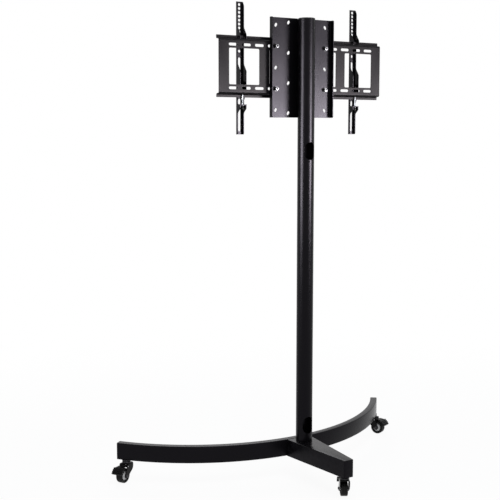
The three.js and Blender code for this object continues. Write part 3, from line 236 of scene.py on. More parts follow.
def make_skin_group():
    """Grain with cells of one size and a slow cloud of another."""
    group, add, join, given, result = value_group(
        "grained_skin", {"Cell": 0.001, "Cloud": 0.15}, ["Height", "Cloudiness"],
    )
    for source, label, detail in (("Cell", "Height", 3.0), ("Cloud", "Cloudiness", 4.0)):
        noise = noise_of(add, join, given.outputs["Vector"], given.outputs[source], detail, roughness=0.55)
        join(noise, result.inputs[label])
    return group


def make_wear_group():
    """A mask that is high on sharp outer edges where a noise lets the wear through."""
    group, add, join, given, result = value_group("edge_wear", {"Patch": 0.02, "Amount": 0.5}, ["Mask"])
    pointed = add("ShaderNodeNewGeometry").outputs["Pointiness"]
    sharp = mapped(add, join, pointed, low=0.53, high=0.62)
    place, patch = given.outputs["Vector"], given.outputs["Patch"]
    noise = noise_of(add, join, place, patch, detail=5.0, roughness=0.7)
    worn_through = mapped(add, join, noise, low=0.45, high=0.75)
    both = calculated(add, join, "MULTIPLY", sharp, worn_through)
    join(calculated(add, join, "MULTIPLY", both, given.outputs["Amount"]), result.inputs["Mask"])
    return group


grained_skin = make_skin_group()
edge_wear = make_wear_group()


def use_group(add, join, group, place, **values):
    """The group as a node, fed with the place and set to the values."""
    node = add("ShaderNodeGroup")
    node.node_tree = group
    join(place, node.inputs["Vector"])
    for key, value in values.items():
        node.inputs[key].default_value = value
    return node


def mixed_colour(add, join, mask, below, above):
    """Two colours, each plain or from a socket, mixed by the mask."""
    mix = add("ShaderNodeMix", data_type="RGBA")
    join(mask, mix.inputs["Factor"])
    for socket, value in ((mix.inputs[6], below), (mix.inputs[7], above)):
        if isinstance(value, tuple):
            socket.default_value = (*value, 1)
        else:
            join(value, socket)
    return mix.outputs[2]


def grained_material(
    name, colour, cloud_colour, roughness, cell, bump,
    worn_colour=None, specular=0.5, metallic=0.0, wear=0.5, sheen=(1, 1, 1),
):
    """A finish with grain in its relief, clouds in its colour and gloss, and worn edges."""
    cells_per_cloud = 140
    worn_patch = 0.02
    clear, clouded = 0.3, 0.7
    glossier, duller = 0.04, 0.05
    material = bpy.data.materials.new(name)
    material.use_nodes = True
    add, join = nodes_of(material.node_tree)
    place = add("ShaderNodeTexCoord").outputs["Object"]
    skin = use_group(add, join, grained_skin, place, Cell=cell, Cloud=cell * cells_per_cloud)
    clouds = skin.outputs["Cloudiness"]
    tone = mixed_colour(add, join, clouds, colour, cloud_colour)
    gloss = mapped(add, join, clouds, clear, clouded, roughness - glossier, roughness + duller)
    if worn_colour:
        worn = use_group(add, join, edge_wear, place, Patch=worn_patch, Amount=wear)
        tone = mixed_colour(add, join, worn.outputs["Mask"], tone, worn_colour)
    relief = add("ShaderNodeBump", Strength=1.0, Distance=bump)
    join(skin.outputs["Height"], relief.inputs["Height"])
    shader = add("ShaderNodeBsdfPrincipled", Metallic=metallic)
    shader.inputs["Specular IOR Level"].default_value = specular
    shader.inputs["Specular Tint"].default_value = (*sheen, 1)
    join(tone, shader.inputs["Base Color"])
    join(gloss, shader.inputs["Roughness"])
    join(relief.outputs[0], shader.inputs["Normal"])
    join(shader.outputs[0], add("ShaderNodeOutputMaterial").inputs[0])
    return material


black_coat = grained_material(
    "black powder coat", (0.0015, 0.0014, 0.0018), (0.0028, 0.0026, 0.0032),
    roughness=0.28, cell=0.0011, bump=0.0000035,
    worn_colour=(0.02, 0.02, 0.023), specular=0.1, wear=0.4, sheen=(0.92, 0.86, 1.0),
)


def finish_nodes(material, *names):
    """Gives pieces that stay plain solids their finish."""
    for name in names:
        for slot in frame["nodes"][name].material_slots:
            slot.material = material


# Curved front beam
# A 26 x 59 mm steel box section rolled to an arc and cut off square at both ends.
# The tail leg is welded to the middle of its outer side.
def surface(name, rings, along_closed=False, sharp=35):
    """Skin over a grid of rings: quads between neighbouring rings and a flat face at each end.

    Point j of ring i joins point j of ring i+1. The faces are turned outwards where the
    enclosed volume, one sixth of the sum of corner triple products, comes out negative.
    """
    rings = np.asarray(rings, dtype=float)
    count, size, _ = rings.shape
    vertices = rings.reshape(-1, 3)
    rows = np.arange(count if along_closed else count - 1)
    i, j = np.meshgrid(rows, np.arange(size), indexing="ij")
    next_i, next_j = (i + 1) % count, (j + 1) % size
    here, there = i * size, next_i * size
    quads = np.stack([here + j, here + next_j, there + next_j, there + j], -1).reshape(-1, 4)
    faces = quads.tolist()
    if not along_closed:
        last_row = (count - 1) * size
        faces += [list(range(size))[::-1], list(range(last_row, last_row + size))]
    return piece_from(name, vertices, faces, sharp)


def piece_from(name, vertices, faces, sharp):
    """A smooth piece with its faces turned outwards, crisp along edges past the sharp angle."""
    corners = np.array([[face[0], face[k], face[k + 1]] for face in faces for k in range(1, len(face) - 1)])
    a, b, c = (vertices[corners[:, k]] - vertices.mean(axis=0) for k in range(3))
    if np.einsum("ij,ij->i", a, np.cross(b, c)).sum() < 0:
        faces = [face[::-1] for face in faces]
    mesh = bpy.data.meshes.new(name)
    mesh.from_pydata(vertices.tolist(), [], faces)
    mesh.validate()
    mesh.shade_smooth()
    mesh.set_sharp_from_angle(angle=math.radians(sharp))
    return placed(name, mesh)


def dress(piece, material, slot, body, *nodes):
    """Gives a piece its finish and the body that carries it, in place of the solids named."""
    piece.data.materials.append(material)
    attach(piece, body)
    if nodes:
        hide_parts(*nodes)


def rounded_rectangle(width, height, radius, steps=5):
    """Loop about the origin: four quarter circles joined by the straight sides."""
    quarter = np.linspace(0, math.pi / 2, steps)
    loop = []
    for turn, sx, sy in ((0, 1, 1), (1, -1, 1), (2, -1, -1), (3, 1, -1)):
        angle = quarter + turn * math.pi / 2
        centre = np.array([sx * (width / 2 - radius), sy * (height / 2 - radius)])
        loop.append(centre + radius * np.stack([np.cos(angle), np.sin(angle)], -1))
    return np.vstack(loop)


beam_radius = 0.7165
beam_half_angle = math.radians(51.84)
beam_width = 0.026
beam_wall = 0.002
beam_edge = 0.003
beam_inner_edge = 0.0012
beam_ahead = 0.046
beam_steps = 120
plug_flange = 0.0033
beam_low, beam_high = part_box("base_arc_beam")
beam_height = beam_high.z - beam_low.z
beam_centre_y = column_y - beam_ahead - beam_radius


def beam_rings(section, angles):
    """Carries a section (outwards, upwards) round the arc: x = r sin a, y = centre + r cos a."""
    radius = beam_radius + section[:, 0]
    height = (beam_low.z + beam_high.z) / 2 + section[:, 1]
    a = angles[:, None]
    return np.stack([
        column_x + radius * np.sin(a),
        beam_centre_y + radius * np.cos(a),
        np.broadcast_to(height, (len(angles), len(height))),
    ], -1)


reach = beam_half_angle - plug_flange / beam_radius
angles = np.linspace(-reach, reach, beam_steps + 1)
outside = rounded_rectangle(beam_width, beam_height, beam_edge)
inside = rounded_rectangle(beam_width - 2 * beam_wall, beam_height - 2 * beam_wall, beam_inner_edge)
shell = np.vstack([beam_rings(outside, angles), beam_rings(inside, angles[::-1])])
beam = surface("curved_beam", shell, along_closed=True)
dress(beam, black_coat, "powder_coat", "stand", "base_arc_beam")


# Beam end plugs
# Black nylon plugs pushed into the open ends of the beam, which leave only the flange to see.
black_nylon = grained_material(
    "black nylon", (0.003, 0.003, 0.0033), (0.005, 0.005, 0.0055),
    roughness=0.4, cell=0.0006, bump=0.000015, specular=0.2,
)
fit_gap = 0.0003
plug_edge = 0.0012
plug_insert = 0.012
plug_play = 0.0004
plug_inset = beam_wall + plug_play
plug_face = plug_flange - fit_gap
plug_stations = [
    (-plug_insert, plug_inset + plug_edge), (-plug_insert + plug_edge, plug_inset), (0.0, plug_inset),
    (0.0, 0.0), (plug_face - plug_edge, 0.0), (plug_face - plug_edge / 3, plug_edge / 3),
    (plug_face, plug_edge),
]
for side, sign in (("left", 1), ("right", -1)):
    rings = []
    for depth, inset in plug_stations:
        section = rounded_rectangle(beam_width - 2 * inset, beam_height - 2 * inset, beam_edge)
        turn = sign * (beam_half_angle - (plug_face - depth) / beam_radius)
        rings.append(beam_rings(section, np.array([turn]))[0])
    dress(surface(f"beam_plug_{side}", rings), black_nylon, "powder_coat", "stand", f"arc_end_plug_{side}")


# Tail leg
# Sheet steel folded into a tapering hood, open below, its corners bent round.
# Its root is cut to the curve of the beam and welded there.
tail_low, tail_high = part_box("tail_leg")
tail_end_y = tail_high.y
tail_root_half = 0.0481
tail_end_half = 0.0187
tail_corner = 0.004
tail_sheet = 0.0025
tail_fold = 0.002
tail_root_steps = 14
quarter = np.linspace(0, math.pi / 2, 5)


def tail_loop(inset):
    """Plan of the leg pulled in by the inset.

    Its root lies on the beam's arc, its sides taper straight and its end corners are round.
    """
    arc = beam_radius + beam_width / 2 + fit_gap + inset
    root_y = beam_centre_y + math.sqrt(arc**2 - tail_root_half**2)
    slope = (tail_root_half - tail_end_half) / (tail_end_y - root_y)
    end_y = tail_end_y - inset
    root_half = tail_root_half - inset
    end_half = tail_root_half - slope * (end_y - root_y) - inset
    x = np.linspace(root_half, -root_half, tail_root_steps + 1)
    root = np.stack([x, beam_centre_y + np.sqrt(arc**2 - x**2)], -1)
    corner = max(tail_corner - inset, tail_corner / 3)
    corner_x = end_half - corner + corner * np.cos(quarter)
    left = np.stack([-corner_x, end_y - corner + corner * np.sin(quarter)], -1)
    return np.vstack([root, left, left[::-1] * [-1, 1]]) + [column_x, 0]


def tail_ring(inset, height):
    """The leg's plan pulled in by the inset and laid level at the height."""
    loop = tail_loop(inset)
    return np.column_stack([loop, np.full(len(loop), height)])


rings = [tail_ring(tail_sheet, tail_high.z - tail_sheet), tail_ring(tail_sheet, tail_low.z)]
rings.append(tail_ring(0, tail_low.z))
for turn in quarter:
    rings.append(tail_ring(tail_fold * (1 - math.cos(turn)), tail_high.z - tail_fold * (1 - math.sin(turn))))
dress(surface("tail_leg_sheet", rings), black_coat, "powder_coat", "stand", "tail_leg")


# Tail's caster plate and the column's foot disc
# Flat bars welded inside: one under the tail for the rear stem, one in the column's foot.
finish_nodes(black_coat, "tail_caster_plate", "column_foot_disc")


# Column
# A 57 mm steel tube, powder coated, with two obround cable openings at the back
# and two bolt holes at the front where the bracket's saddles sit.
def full_turn(steps):
    """Angles of a whole turn in even steps."""
    return np.arange(steps) * 2 * math.pi / steps


def circle(centre_u, centre_v, radius, steps=32):
    """Hole edge: u = cu + r cos t, v = cv + r sin t."""
    turn = full_turn(steps)
    return np.stack([centre_u + radius * np.cos(turn), centre_v + radius * np.sin(turn)], -1)


def obround(centre_u, centre_v, width, height, steps=12):
    """Slot edge: two half circles of the lesser size, apart by the rest of the greater."""
    radius = min(width, height) / 2
    half = np.linspace(-math.pi / 2, math.pi / 2, steps)
    cap = np.stack([radius * np.cos(half), radius * np.sin(half)], -1)
    if width > height:
        loop = np.vstack([cap + [width / 2 - radius, 0], -cap - [width / 2 - radius, 0]])
    else:
        upright = cap[:, ::-1] * [-1, 1]
        loop = np.vstack([upright + [0, height / 2 - radius], -upright - [0, height / 2 - radius]])
    return loop + [centre_u, centre_v]


def inside_loops(points, loops):
    """Even-odd rule: true where a level ray to the right crosses the loops' edges an odd number of times."""
    a = np.vstack(loops)
    b = np.vstack([np.roll(loop, -1, axis=0) for loop in loops])
    u, v = points[:, :1], points[:, 1:]
    spans = (a[:, 1] > v) != (b[:, 1] > v)
    rise = np.where(b[:, 1] == a[:, 1], 1.0, b[:, 1] - a[:, 1])
    meets = a[:, 0] + (v - a[:, 1]) * (b[:, 0] - a[:, 0]) / rise
    return (spans & (u < meets)).sum(axis=1) % 2 == 1


def punched_sheet(name, outline, holes, creases, folded, thickness, edge):
    """Sheet metal cut flat and then folded.

    The outline, the hole edges and the creases split the flat sheet into triangles. Those
    with their middle inside the outline and outside every hole stay, and folded(u, v) lays
    each flat point on the middle surface of the bent sheet, which is then given its thickness.
    """
    loops = [np.asarray(loop, dtype=float) for loop in (outline, *holes)]
    points, edges = [], []
    for loop in loops:
        start = len(points)
        points += [Vector(point) for point in loop]
        edges += [(start + k, start + (k + 1) % len(loop)) for k in range(len(loop))]
    for crease in creases:
        start = len(points)
        points += [Vector(point) for point in crease]
        edges.append((start, start + 1))
    same_point = 1e-7
    flat, _, triangles, *_ = delaunay_2d_cdt(points, edges, [], 0, same_point)
    flat = np.array([tuple(point) for point in flat])
    triangles = np.array(triangles)
    kept = triangles[inside_loops(flat[triangles].mean(axis=1), loops)]
    used, kept = np.unique(kept, return_inverse=True)
    bent = folded(flat[used, 0], flat[used, 1])
    mesh = bpy.data.meshes.new(name)
    mesh.from_pydata(bent.tolist(), [], kept.reshape(-1, 3).tolist())
    mesh.shade_smooth()
    piece = placed(name, mesh)
    thicken(piece, thickness)
    soften(piece, edge)
    return piece


def thicken(piece, thickness):
    """Gives a sheet its thickness, half on each side of its middle surface."""
    solidify = piece.modifiers.new("thickness", "SOLIDIFY")
    solidify.thickness = thickness
    solidify.offset = 0
    solidify.use_even_offset = True
    solidify.use_quality_normals = True


def soften(piece, edge, angle=40):
    """Rounds the sharp edges and lets the flat faces keep their own normals."""
    bevel = piece.modifiers.new("edges", "BEVEL")
    bevel.width = edge
    bevel.segments = 2
    bevel.limit_method = "ANGLE"
    bevel.angle_limit = math.radians(angle)
    bevel.use_clamp_overlap = True
    flatten = piece.modifiers.new("flat faces", "WEIGHTED_NORMAL")
    flatten.keep_sharp = True


column_radius = (column_high.x - column_low.x) / 2
column_wall = 0.002
cable_hole_width = 0.0385
cable_hole_height = 0.0595
cable_hole_rises = (0.0595, 1.0073)
bolt_hole_radius = 0.0044
column_middle_radius = column_radius - column_wall / 2
saddle_boxes = (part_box("bracket_saddle_upper"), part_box("bracket_saddle_lower"))
saddle_levels = [(low.z + high.z) / 2 for low, high in saddle_boxes]
tube_strips = 96
seam_reach = 0.00002


def unrolled(loop, toward):
    """Lays a loop drawn on the face (x, z) out on the tube: u = r asin(x / r), from the side it faces."""
    turn = np.arcsin(loop[:, 0] * toward / column_middle_radius) + (0 if toward > 0 else math.pi)
    return np.column_stack([column_middle_radius * turn, loop[:, 1]])


def rolled(u, v):
    """Rolls the flat sheet about the column's axis, u = 0 facing the tail (+Y)."""
    turn = u / column_middle_radius
    x = column_x + column_middle_radius * np.sin(turn)
    return np.stack([x, column_y + column_middle_radius * np.cos(turn), v], -1)


quarter_round = math.pi * column_middle_radius / 2
strips = np.linspace(-quarter_round, 3 * quarter_round, tube_strips + 1)
outline = [(u, column_low.z) for u in strips] + [(u, column_high.z) for u in strips[::-1]]
holes = [
    unrolled(obround(0, base_top + rise, cable_hole_width, cable_hole_height), 1) for rise in cable_hole_rises
]
holes += [unrolled(circle(0, level, bolt_hole_radius, steps=20), -1) for level in saddle_levels]
creases = [[(u, column_low.z), (u, column_high.z)] for u in strips[1:-1]]
tube = punched_sheet("column_pipe", outline, holes, creases, rolled, column_wall, edge=0.0004)
weld = tube.modifiers.new("seam", "WELD")
weld.merge_threshold = seam_reach
with bpy.context.temp_override(object=tube):
    bpy.ops.object.modifier_move_to_index(modifier="seam", index=0)
dress(tube, black_coat, "powder_coat", "stand", "column_tube")


# Column cap
# A black plastic cap pressed into the tube, its edge moulded round.
def rings_at(radii, heights, turn):
    """Rings about Z, one for each height: x = r cos t, y = r sin t, where r may vary with t."""
    size = (len(heights), len(turn))
    radii = np.broadcast_to(radii, size)
    level = np.broadcast_to(np.asarray(heights, dtype=float)[:, None], size)
    return np.stack([radii * np.cos(turn), radii * np.sin(turn), level], -1)


def turned(profile, steps=48):
    """Rings about Z from a profile of (radius, height) points."""
    profile = np.asarray(profile, dtype=float)
    return rings_at(profile[:, :1], profile[:, 1], full_turn(steps))


def stood(rings, axis, place):
    """Turns rings drawn about Z so that their Z lies along the axis named, and moves them to the place."""
    along = Vector({"Y": (0, 1, 0), "Z": (0, 0, 1)}[axis])
    turn = np.array(along.to_track_quat("Z", "X").to_matrix())
    return np.asarray(rings) @ turn.T + np.array(tuple(place))


def rounded_corner(radius_out, height, corner, steps):
    """Points of a quarter circle that eases a disc's rim, from the side wall to the flat."""
    turn = np.linspace(0, math.pi / 2, steps)
    return [(radius_out - corner + corner * math.cos(t), height - corner * (1 - math.sin(t))) for t in turn]


cap_low, cap_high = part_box("column_cap")
cap_edge = 0.0004
cap_round = 0.003
cap_rim_height = 0.004
cap_rim = cap_high.z - cap_rim_height
cap_neck = column_radius - column_wall - cap_edge
cap_profile = [
    (cap_neck, cap_low.z), (cap_neck, cap_rim), (column_radius - cap_edge, cap_rim),
    (column_radius, cap_rim + cap_edge), *rounded_corner(column_radius, cap_high.z, cap_round, steps=7),
    (column_radius * 0.6, cap_high.z), (column_radius * 0.05, cap_high.z),
]
cap = surface("column_plug", stood(turned(cap_profile, steps=96), "Z", (column_x, column_y, 0)))
dress(cap, black_nylon, "black_plastic", "stand", "column_cap")


# Foot bolts
# Four M8 hexagon bolts up through the tail's root into the foot disc, zinc plated.
zinc = grained_material(
    "bright zinc", (0.46, 0.47, 0.49), (0.34, 0.35, 0.36),
    roughness=0.28, cell=0.0006, bump=0.000008, metallic=1.0,
)
bolt_radius = 0.004
hex_across = 0.013
past_corner = 1.01
hex_corner = hex_across / 2 / math.cos(math.pi / 6) * past_corner
hex_chamfer = 0.0012
thread_pitch = 0.00125
rings_per_pitch = 8
point_narrowing = 0.14
neck_share = 0.3
head_top = base_top - tail_sheet - fit_gap


def hexagon_rings(across, stations):
    """Rings of a chamfered hexagon, one for each (height, cone) station.

    The radius is the lesser of the cone and of across / 2 / cos(angle from the nearest flat).
    """
    turn = full_turn(48)
    to_flat = (turn + math.pi / 6) % (math.pi / 3) - math.pi / 6
    heights, cones = np.array(stations).T
    return rings_at(np.minimum(across / 2 / np.cos(to_flat), cones[:, None]), heights, turn)


def threaded_rings(radius, start, end, pitch, depth, steps=48):
    """Screw thread: the radius dips by a triangle wave of the phase turn / 2 pi + height / pitch.

    Over the last pitch the whole thread narrows to a blunt point.
    """
    count = max(int(round((end - start) / pitch * rings_per_pitch)), 2)
    heights = np.linspace(start, end, count + 1)
    turn = full_turn(steps)
    phase = (turn / (2 * math.pi) + heights[:, None] / pitch) % 1.0
    dip = np.abs(phase * 2 - 1) * depth
    from_end = np.clip((heights[-1] - heights) / pitch, 0.0, 1.0)[:, None]
    return rings_at((radius - dip) * (1 - point_narrowing + point_narrowing * from_end), heights, turn)


def hex_bolt(name, place, axis, head, length):
    """Head below level zero with its chamfer outwards, plain neck, then thread up to the tip."""
    neck = length * neck_share
    face, behind_face = hex_across * 0.44, hex_across * 0.475
    rings = [
        hexagon_rings(hex_across, [
            (-head, face), (-head + 0.0003, behind_face), (-head + hex_chamfer, hex_corner), (0, hex_corner),
        ]),
        turned([(bolt_radius, 0), (bolt_radius, neck)]),
        threaded_rings(bolt_radius, neck, length, thread_pitch, depth=0.0007),
    ]
    return surface(name, stood(np.vstack(rings), axis, place), sharp=28)


for index in range(1, 5):
    low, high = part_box(f"column_foot_bolt_{index}")
    place = ((low.x + high.x) / 2, (low.y + high.y) / 2, head_top)
    bolt = hex_bolt(f"foot_bolt_{index}", place, "Z", head_top - low.z, high.z - head_top)
    dress(bolt, zinc, "zinc", "stand", f"column_foot_bolt_{index}")


# Wing bracket
# A shallow channel folded from 2.5 mm steel, its flanges turned back towards the tail,
# with five outer and four inner slots down each side, leaning towards the column, and
# two bolt holes on the middle.
wing_low, wing_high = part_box("wing_bracket")
wing_sheet = 0.0025
wing_bend = 0.0015
wing_corner = 0.006
wing_slot_width = 0.009
wing_slot_length = 0.0134
wing_slot_lean = math.radians(33)
outer_offset, outer_margin, outer_count = 0.1, 0.025, 5
inner_offset, inner_margin, inner_count = 0.05, 0.015, 4
bend_steps = 5


def turned_by(angle):
    """Matrix that turns flat points, written as rows, anticlockwise by the angle."""
    return np.array([[math.cos(angle), math.sin(angle)], [-math.sin(angle), math.cos(angle)]])


def bent_path(corners, radius):
    """Middle line of a bent sheet: straight runs joined by arcs of the radius.

    Each arc starts and ends at radius * tan(turn / 2) from its corner. Returns the line's
    points and the developed length at each of them.
    """
    corners = np.asarray(corners, dtype=float)
    line = [corners[0]]
    for before, here, after in zip(corners[:-2], corners[1:-1], corners[2:]):
        arriving = (here - before) / np.linalg.norm(here - before)
        leaving = (after - here) / np.linalg.norm(after - here)
        cross = arriving[0] * leaving[1] - arriving[1] * leaving[0]
        turn = math.atan2(cross, float(arriving @ leaving))
        start = here - arriving * radius * math.tan(abs(turn) / 2)
        side = math.copysign(1, turn)
        centre = start + side * radius * np.array([-arriving[1], arriving[0]])
        for share in np.linspace(0, 1, bend_steps):
            line.append(centre + (start - centre) @ turned_by(turn * share))
    line.append(corners[-1])
    line = np.array(line)
    length = np.concatenate([[0], np.cumsum(np.linalg.norm(np.diff(line, axis=0), axis=1))])
    return line, length - length[-1] / 2


def channel(half, web, lip, radius):
    """Middle line of a channel: a web across, and a wall from each end of it to the lip."""
    return bent_path([(-half, lip), (-half, web), (half, web), (half, lip)], radius)


def along_line(line, length, u):
    """The two coordinates of the bent line where its developed length is u."""
    return np.interp(u, length, line[:, 0]), np.interp(u, length, line[:, 1])


wing_half = (wing_high.x - wing_low.x - wing_sheet) / 2
wing_middle_x = (wing_low.x + wing_high.x) / 2
web_y = wing_low.y + wing_sheet / 2
wing_path, wing_length = channel(wing_half, web_y, wing_high.y, wing_bend + wing_sheet / 2)


def fold_wing(u, v):
    """Folds the flat sheet: u runs round the channel's line and v upwards."""
    x, y = along_line(wing_path, wing_length, u)
    return np.stack([wing_middle_x + x, y, v], -1)


wing_outline = rounded_rectangle(2 * wing_length[-1], wing_high.z - wing_low.z, wing_corner, steps=7)
wing_outline += [0, (wing_low.z + wing_high.z) / 2]
upright_slot = obround(0, 0, wing_slot_width, wing_slot_length)
wing_holes = [circle(0, level, bolt_hole_radius) for level in saddle_levels]
for side in (-1, 1):
    leaning_slot = upright_slot @ turned_by(side * wing_slot_lean)
    for count, offset, margin in (
        (outer_count, outer_offset, outer_margin), (inner_count, inner_offset, inner_margin),
    ):
        for level in np.linspace(wing_high.z - margin, wing_low.z + margin, count):
            wing_holes.append(leaning_slot + [side * offset, level])
past = 0.01
wing_creases = [[(u, wing_low.z - past), (u, wing_high.z + past)] for u in wing_length[1:-1]]
wing = punched_sheet(
    "wing_sheet", wing_outline, wing_holes, wing_creases, fold_wing, wing_sheet, edge=0.0005,
)
dress(wing, black_coat, "powder_coat", "stand", "wing_bracket")


# Saddles
# Blocks between the round column and the flat bracket, hollowed to the tube's curve.
finish_nodes(black_coat, "bracket_saddle_upper", "bracket_saddle_lower")


# Bracket bolts and nuts
# One hexagon bolt through bracket, saddle and tube wall at each saddle, nut inside the tube.
saddle_bolt_head = 0.0053
nut_bore = 0.0043
bore_chamfer = 0.0005


def hex_nut(name, place, axis, height):
    """Nut from level zero upwards, both faces chamfered, with a plain bore."""
    face, behind_face = hex_across * 0.45, hex_across * 0.49
    near = [(0, face), (0.0004, behind_face), (hex_chamfer, hex_corner)]
    far = [(height - level, cone) for level, cone in reversed(near)]
    bore = [(nut_bore + bore_chamfer, height), (nut_bore, height - bore_chamfer)]
    bore += [(nut_bore, bore_chamfer), (nut_bore + bore_chamfer, 0)]
    rings = np.vstack([hexagon_rings(hex_across, near + far), turned(bore)])
    return surface(name, stood(rings, axis, place), along_closed=True, sharp=28)


for name, level in zip(("upper", "lower"), saddle_levels):
    low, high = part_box(f"bracket_bolt_{name}")
    place = (column_x, low.y + saddle_bolt_head, level)
    bolt = hex_bolt(f"saddle_bolt_{name}", place, "Y", saddle_bolt_head, high.y - place[1])
    dress(bolt, zinc, "zinc", "stand", f"bracket_bolt_{name}")
    low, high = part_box(f"bracket_nut_{name}")
    nut = hex_nut(f"saddle_nut_{name}", (column_x, low.y, level), "Y", high.y - low.y)
    dress(nut, zinc, "zinc", "stand", f"bracket_nut_{name}")


# Wall plate
# 2 mm steel with two rows of slots and four windows; its long edges are folded
# forwards into ledges and then outwards into the lips that the arms hook over.
plate_coat = grained_material(
    "grey-black powder coat", (0.0048, 0.0045, 0.0054), (0.0078, 0.0074, 0.0086),
    roughness=0.34, cell=0.0012, bump=0.000008,
    worn_colour=(0.05, 0.05, 0.055), specular=0.052, wear=0.35, sheen=(1.0, 0.94, 0.99),
)
plate_low, plate_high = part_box("wall_plate")
plate_sheet = 0.002
plate_lip = 0.011
plate_bend = 0.004
plate_corner = 0.0015
slot_pitch = 0.05
slot_length = 0.034
slot_height = 0.009
slot_row_from_edge = 0.03
slots_from_end = 0.03
window_from_end = 0.039
window_post = 0.038
window_middle_post = 0.042
window_from_slot = 0.007
window_corner = 0.004
wider_post = 0.0015
plate_middle_x = (plate_low.x + plate_high.x) / 2
plate_level = (plate_low.z + plate_high.z) / 2
plate_half_length = (plate_high.x - plate_low.x) / 2
plate_half_height = (plate_high.z - plate_low.z) / 2
face_y = plate_high.y - plate_sheet / 2
lip_y = plate_low.y + plate_sheet / 2
ledge = plate_half_height - plate_lip - plate_sheet / 2
upper_half = [(lip_y, plate_half_height), (lip_y, ledge), (face_y, ledge)]
lower_half = [(y, -z) for y, z in reversed(upper_half)]
plate_path, plate_length = bent_path(upper_half + lower_half, plate_bend + plate_sheet / 2)


def fold_plate(u, v):
    """Folds the flat sheet: u runs along the plate and v round its folded line."""
    y, z = along_line(plate_path, plate_length, v)
    return np.stack([plate_middle_x + u, y, plate_level + z], -1)


slot_row = plate_half_height - slot_row_from_edge
slots_each_side = round((plate_half_length - slots_from_end) / slot_pitch)
plate_holes = [
    obround((index + 0.5) * slot_pitch, row * slot_row, slot_length, slot_height)
    for index in range(-slots_each_side, slots_each_side) for row in (-1, 1)
]
window_width = (plate_half_length - window_from_end - window_middle_post / 2 - window_post) / 2
window_height = 2 * slot_row - slot_height - 2 * window_from_slot
inner_window = (window_middle_post + window_width) / 2
for side, wider in ((1, wider_post), (-1, 0)):
    inner = rounded_rectangle(window_width - wider, window_height, window_corner)
    outer = rounded_rectangle(window_width, window_height, window_corner)
    plate_holes.append(inner + [side * inner_window - wider / 2, 0])
    plate_holes.append(outer + [side * (inner_window + window_width + window_post), 0])
plate_outline = rounded_rectangle(2 * plate_half_length, 2 * plate_length[-1], plate_corner, steps=4)
plate_end = plate_half_length + past
plate_creases = [[(-plate_end, v), (plate_end, v)] for v in plate_length[1:-1]]
plate = punched_sheet(
    "slotted_plate", plate_outline, plate_holes, plate_creases, fold_plate, plate_sheet, edge=0.0004,
)
dress(plate, plate_coat, "plate_coat", "stand", "wall_plate")


# Plate screws, washers and nuts
# Four M8 socket screws through the bracket's outer holes and the plate's slots,
# head and washer at the back, nut on the screen side.
dark_steel = grained_material(
    "blackened steel", (0.022, 0.022, 0.024), (0.045, 0.045, 0.048),
    roughness=0.2, cell=0.0005, bump=0.000006, metallic=0.9,
)
# A lighter steel, used only to paint a highlight ring on the top faces of the socket screw heads.
highlight_steel = grained_material(
    "steel lightened for painted highlight", (0.07, 0.07, 0.075), (0.11, 0.11, 0.115),
    roughness=0.3, cell=0.0005, bump=0.000006, metallic=0.9,
)
screw_head = 0.008
screw_round = 0.0012
screw_key = 0.006
screw_key_depth = 0.004
screw_key_bevel = 0.0006
key_highlight_from = 0.62
highlight_depth = 0.0008
turned_edge = 0.0003
washer_edge = 0.0004


def socket_screw(name, place, axis, head_radius, length):
    """Cap head above level zero with a hexagon key recess; threaded shank below."""
    shank = threaded_rings(bolt_radius, 0, length, thread_pitch, depth=0.0006)[::-1] * [1, 1, -1]
    head = [(bolt_radius, 0), (head_radius - turned_edge, 0), (head_radius, turned_edge)]
    head += rounded_corner(head_radius, screw_head, screw_round, steps=5)
    recess = hexagon_rings(screw_key, [
        (screw_head, screw_key * 0.64), (screw_head - screw_key_bevel, screw_key),
        (screw_head - screw_key_depth, screw_key),
    ])
    return surface(name, stood(np.vstack([shank, turned(head), recess]), axis, place), sharp=30)


def face_middles(piece):
    """Middle points of a piece's faces, one row for each."""
    return np.array([tuple(face.center) for face in piece.data.polygons])


def second_finish(piece, material, chosen):
    """Gives the chosen faces of a piece a finish of their own."""
    piece.data.materials.append(material)
    piece.data.polygons.foreach_set("material_index", chosen.astype(np.int32))


for row in ("upper", "lower"):
    for side in ("left", "right"):
        low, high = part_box(f"plate_screw_{row}_{side}")
        x, z = (low.x + high.x) / 2, (low.z + high.z) / 2
        foot = (x, high.y - screw_head, z)
        screw = socket_screw(f"socket_screw_{row}_{side}", foot, "Y", (high.x - low.x) / 2, foot[1] - low.y)
        dress(screw, dark_steel, "dark_steel", "stand", f"plate_screw_{row}_{side}")
        # The top face of each head, outside the key recess, is painted in the lighter steel as a highlight
        # ring.
        middles = face_middles(screw)
        off_axis = np.hypot(middles[:, 0] - x, middles[:, 2] - z)
        on_top = (middles[:, 1] > high.y - highlight_depth) & (off_axis > screw_key * key_highlight_from)
        second_finish(screw, highlight_steel, on_top)
        low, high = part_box(f"plate_washer_{row}_{side}")
        outer, thick, hole = (high.x - low.x) / 2, high.y - low.y, bolt_radius + fit_gap
        profile = [
            (hole, 0), (outer - turned_edge, 0), (outer, washer_edge),
            (outer, thick - washer_edge), (outer - turned_edge, thick), (hole, thick),
        ]
        rings = stood(turned(profile), "Y", (x, low.y, z))
        washer = surface(f"flat_washer_{row}_{side}", rings, along_closed=True)
        dress(washer, dark_steel, "dark_steel", "stand", f"plate_washer_{row}_{side}")
        low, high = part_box(f"plate_nut_{row}_{side}")
        nut = hex_nut(f"plate_hex_nut_{row}_{side}", (x, low.y, z), "Y", high.y - low.y)
        dress(nut, zinc, "zinc", "stand", f"plate_nut_{row}_{side}")


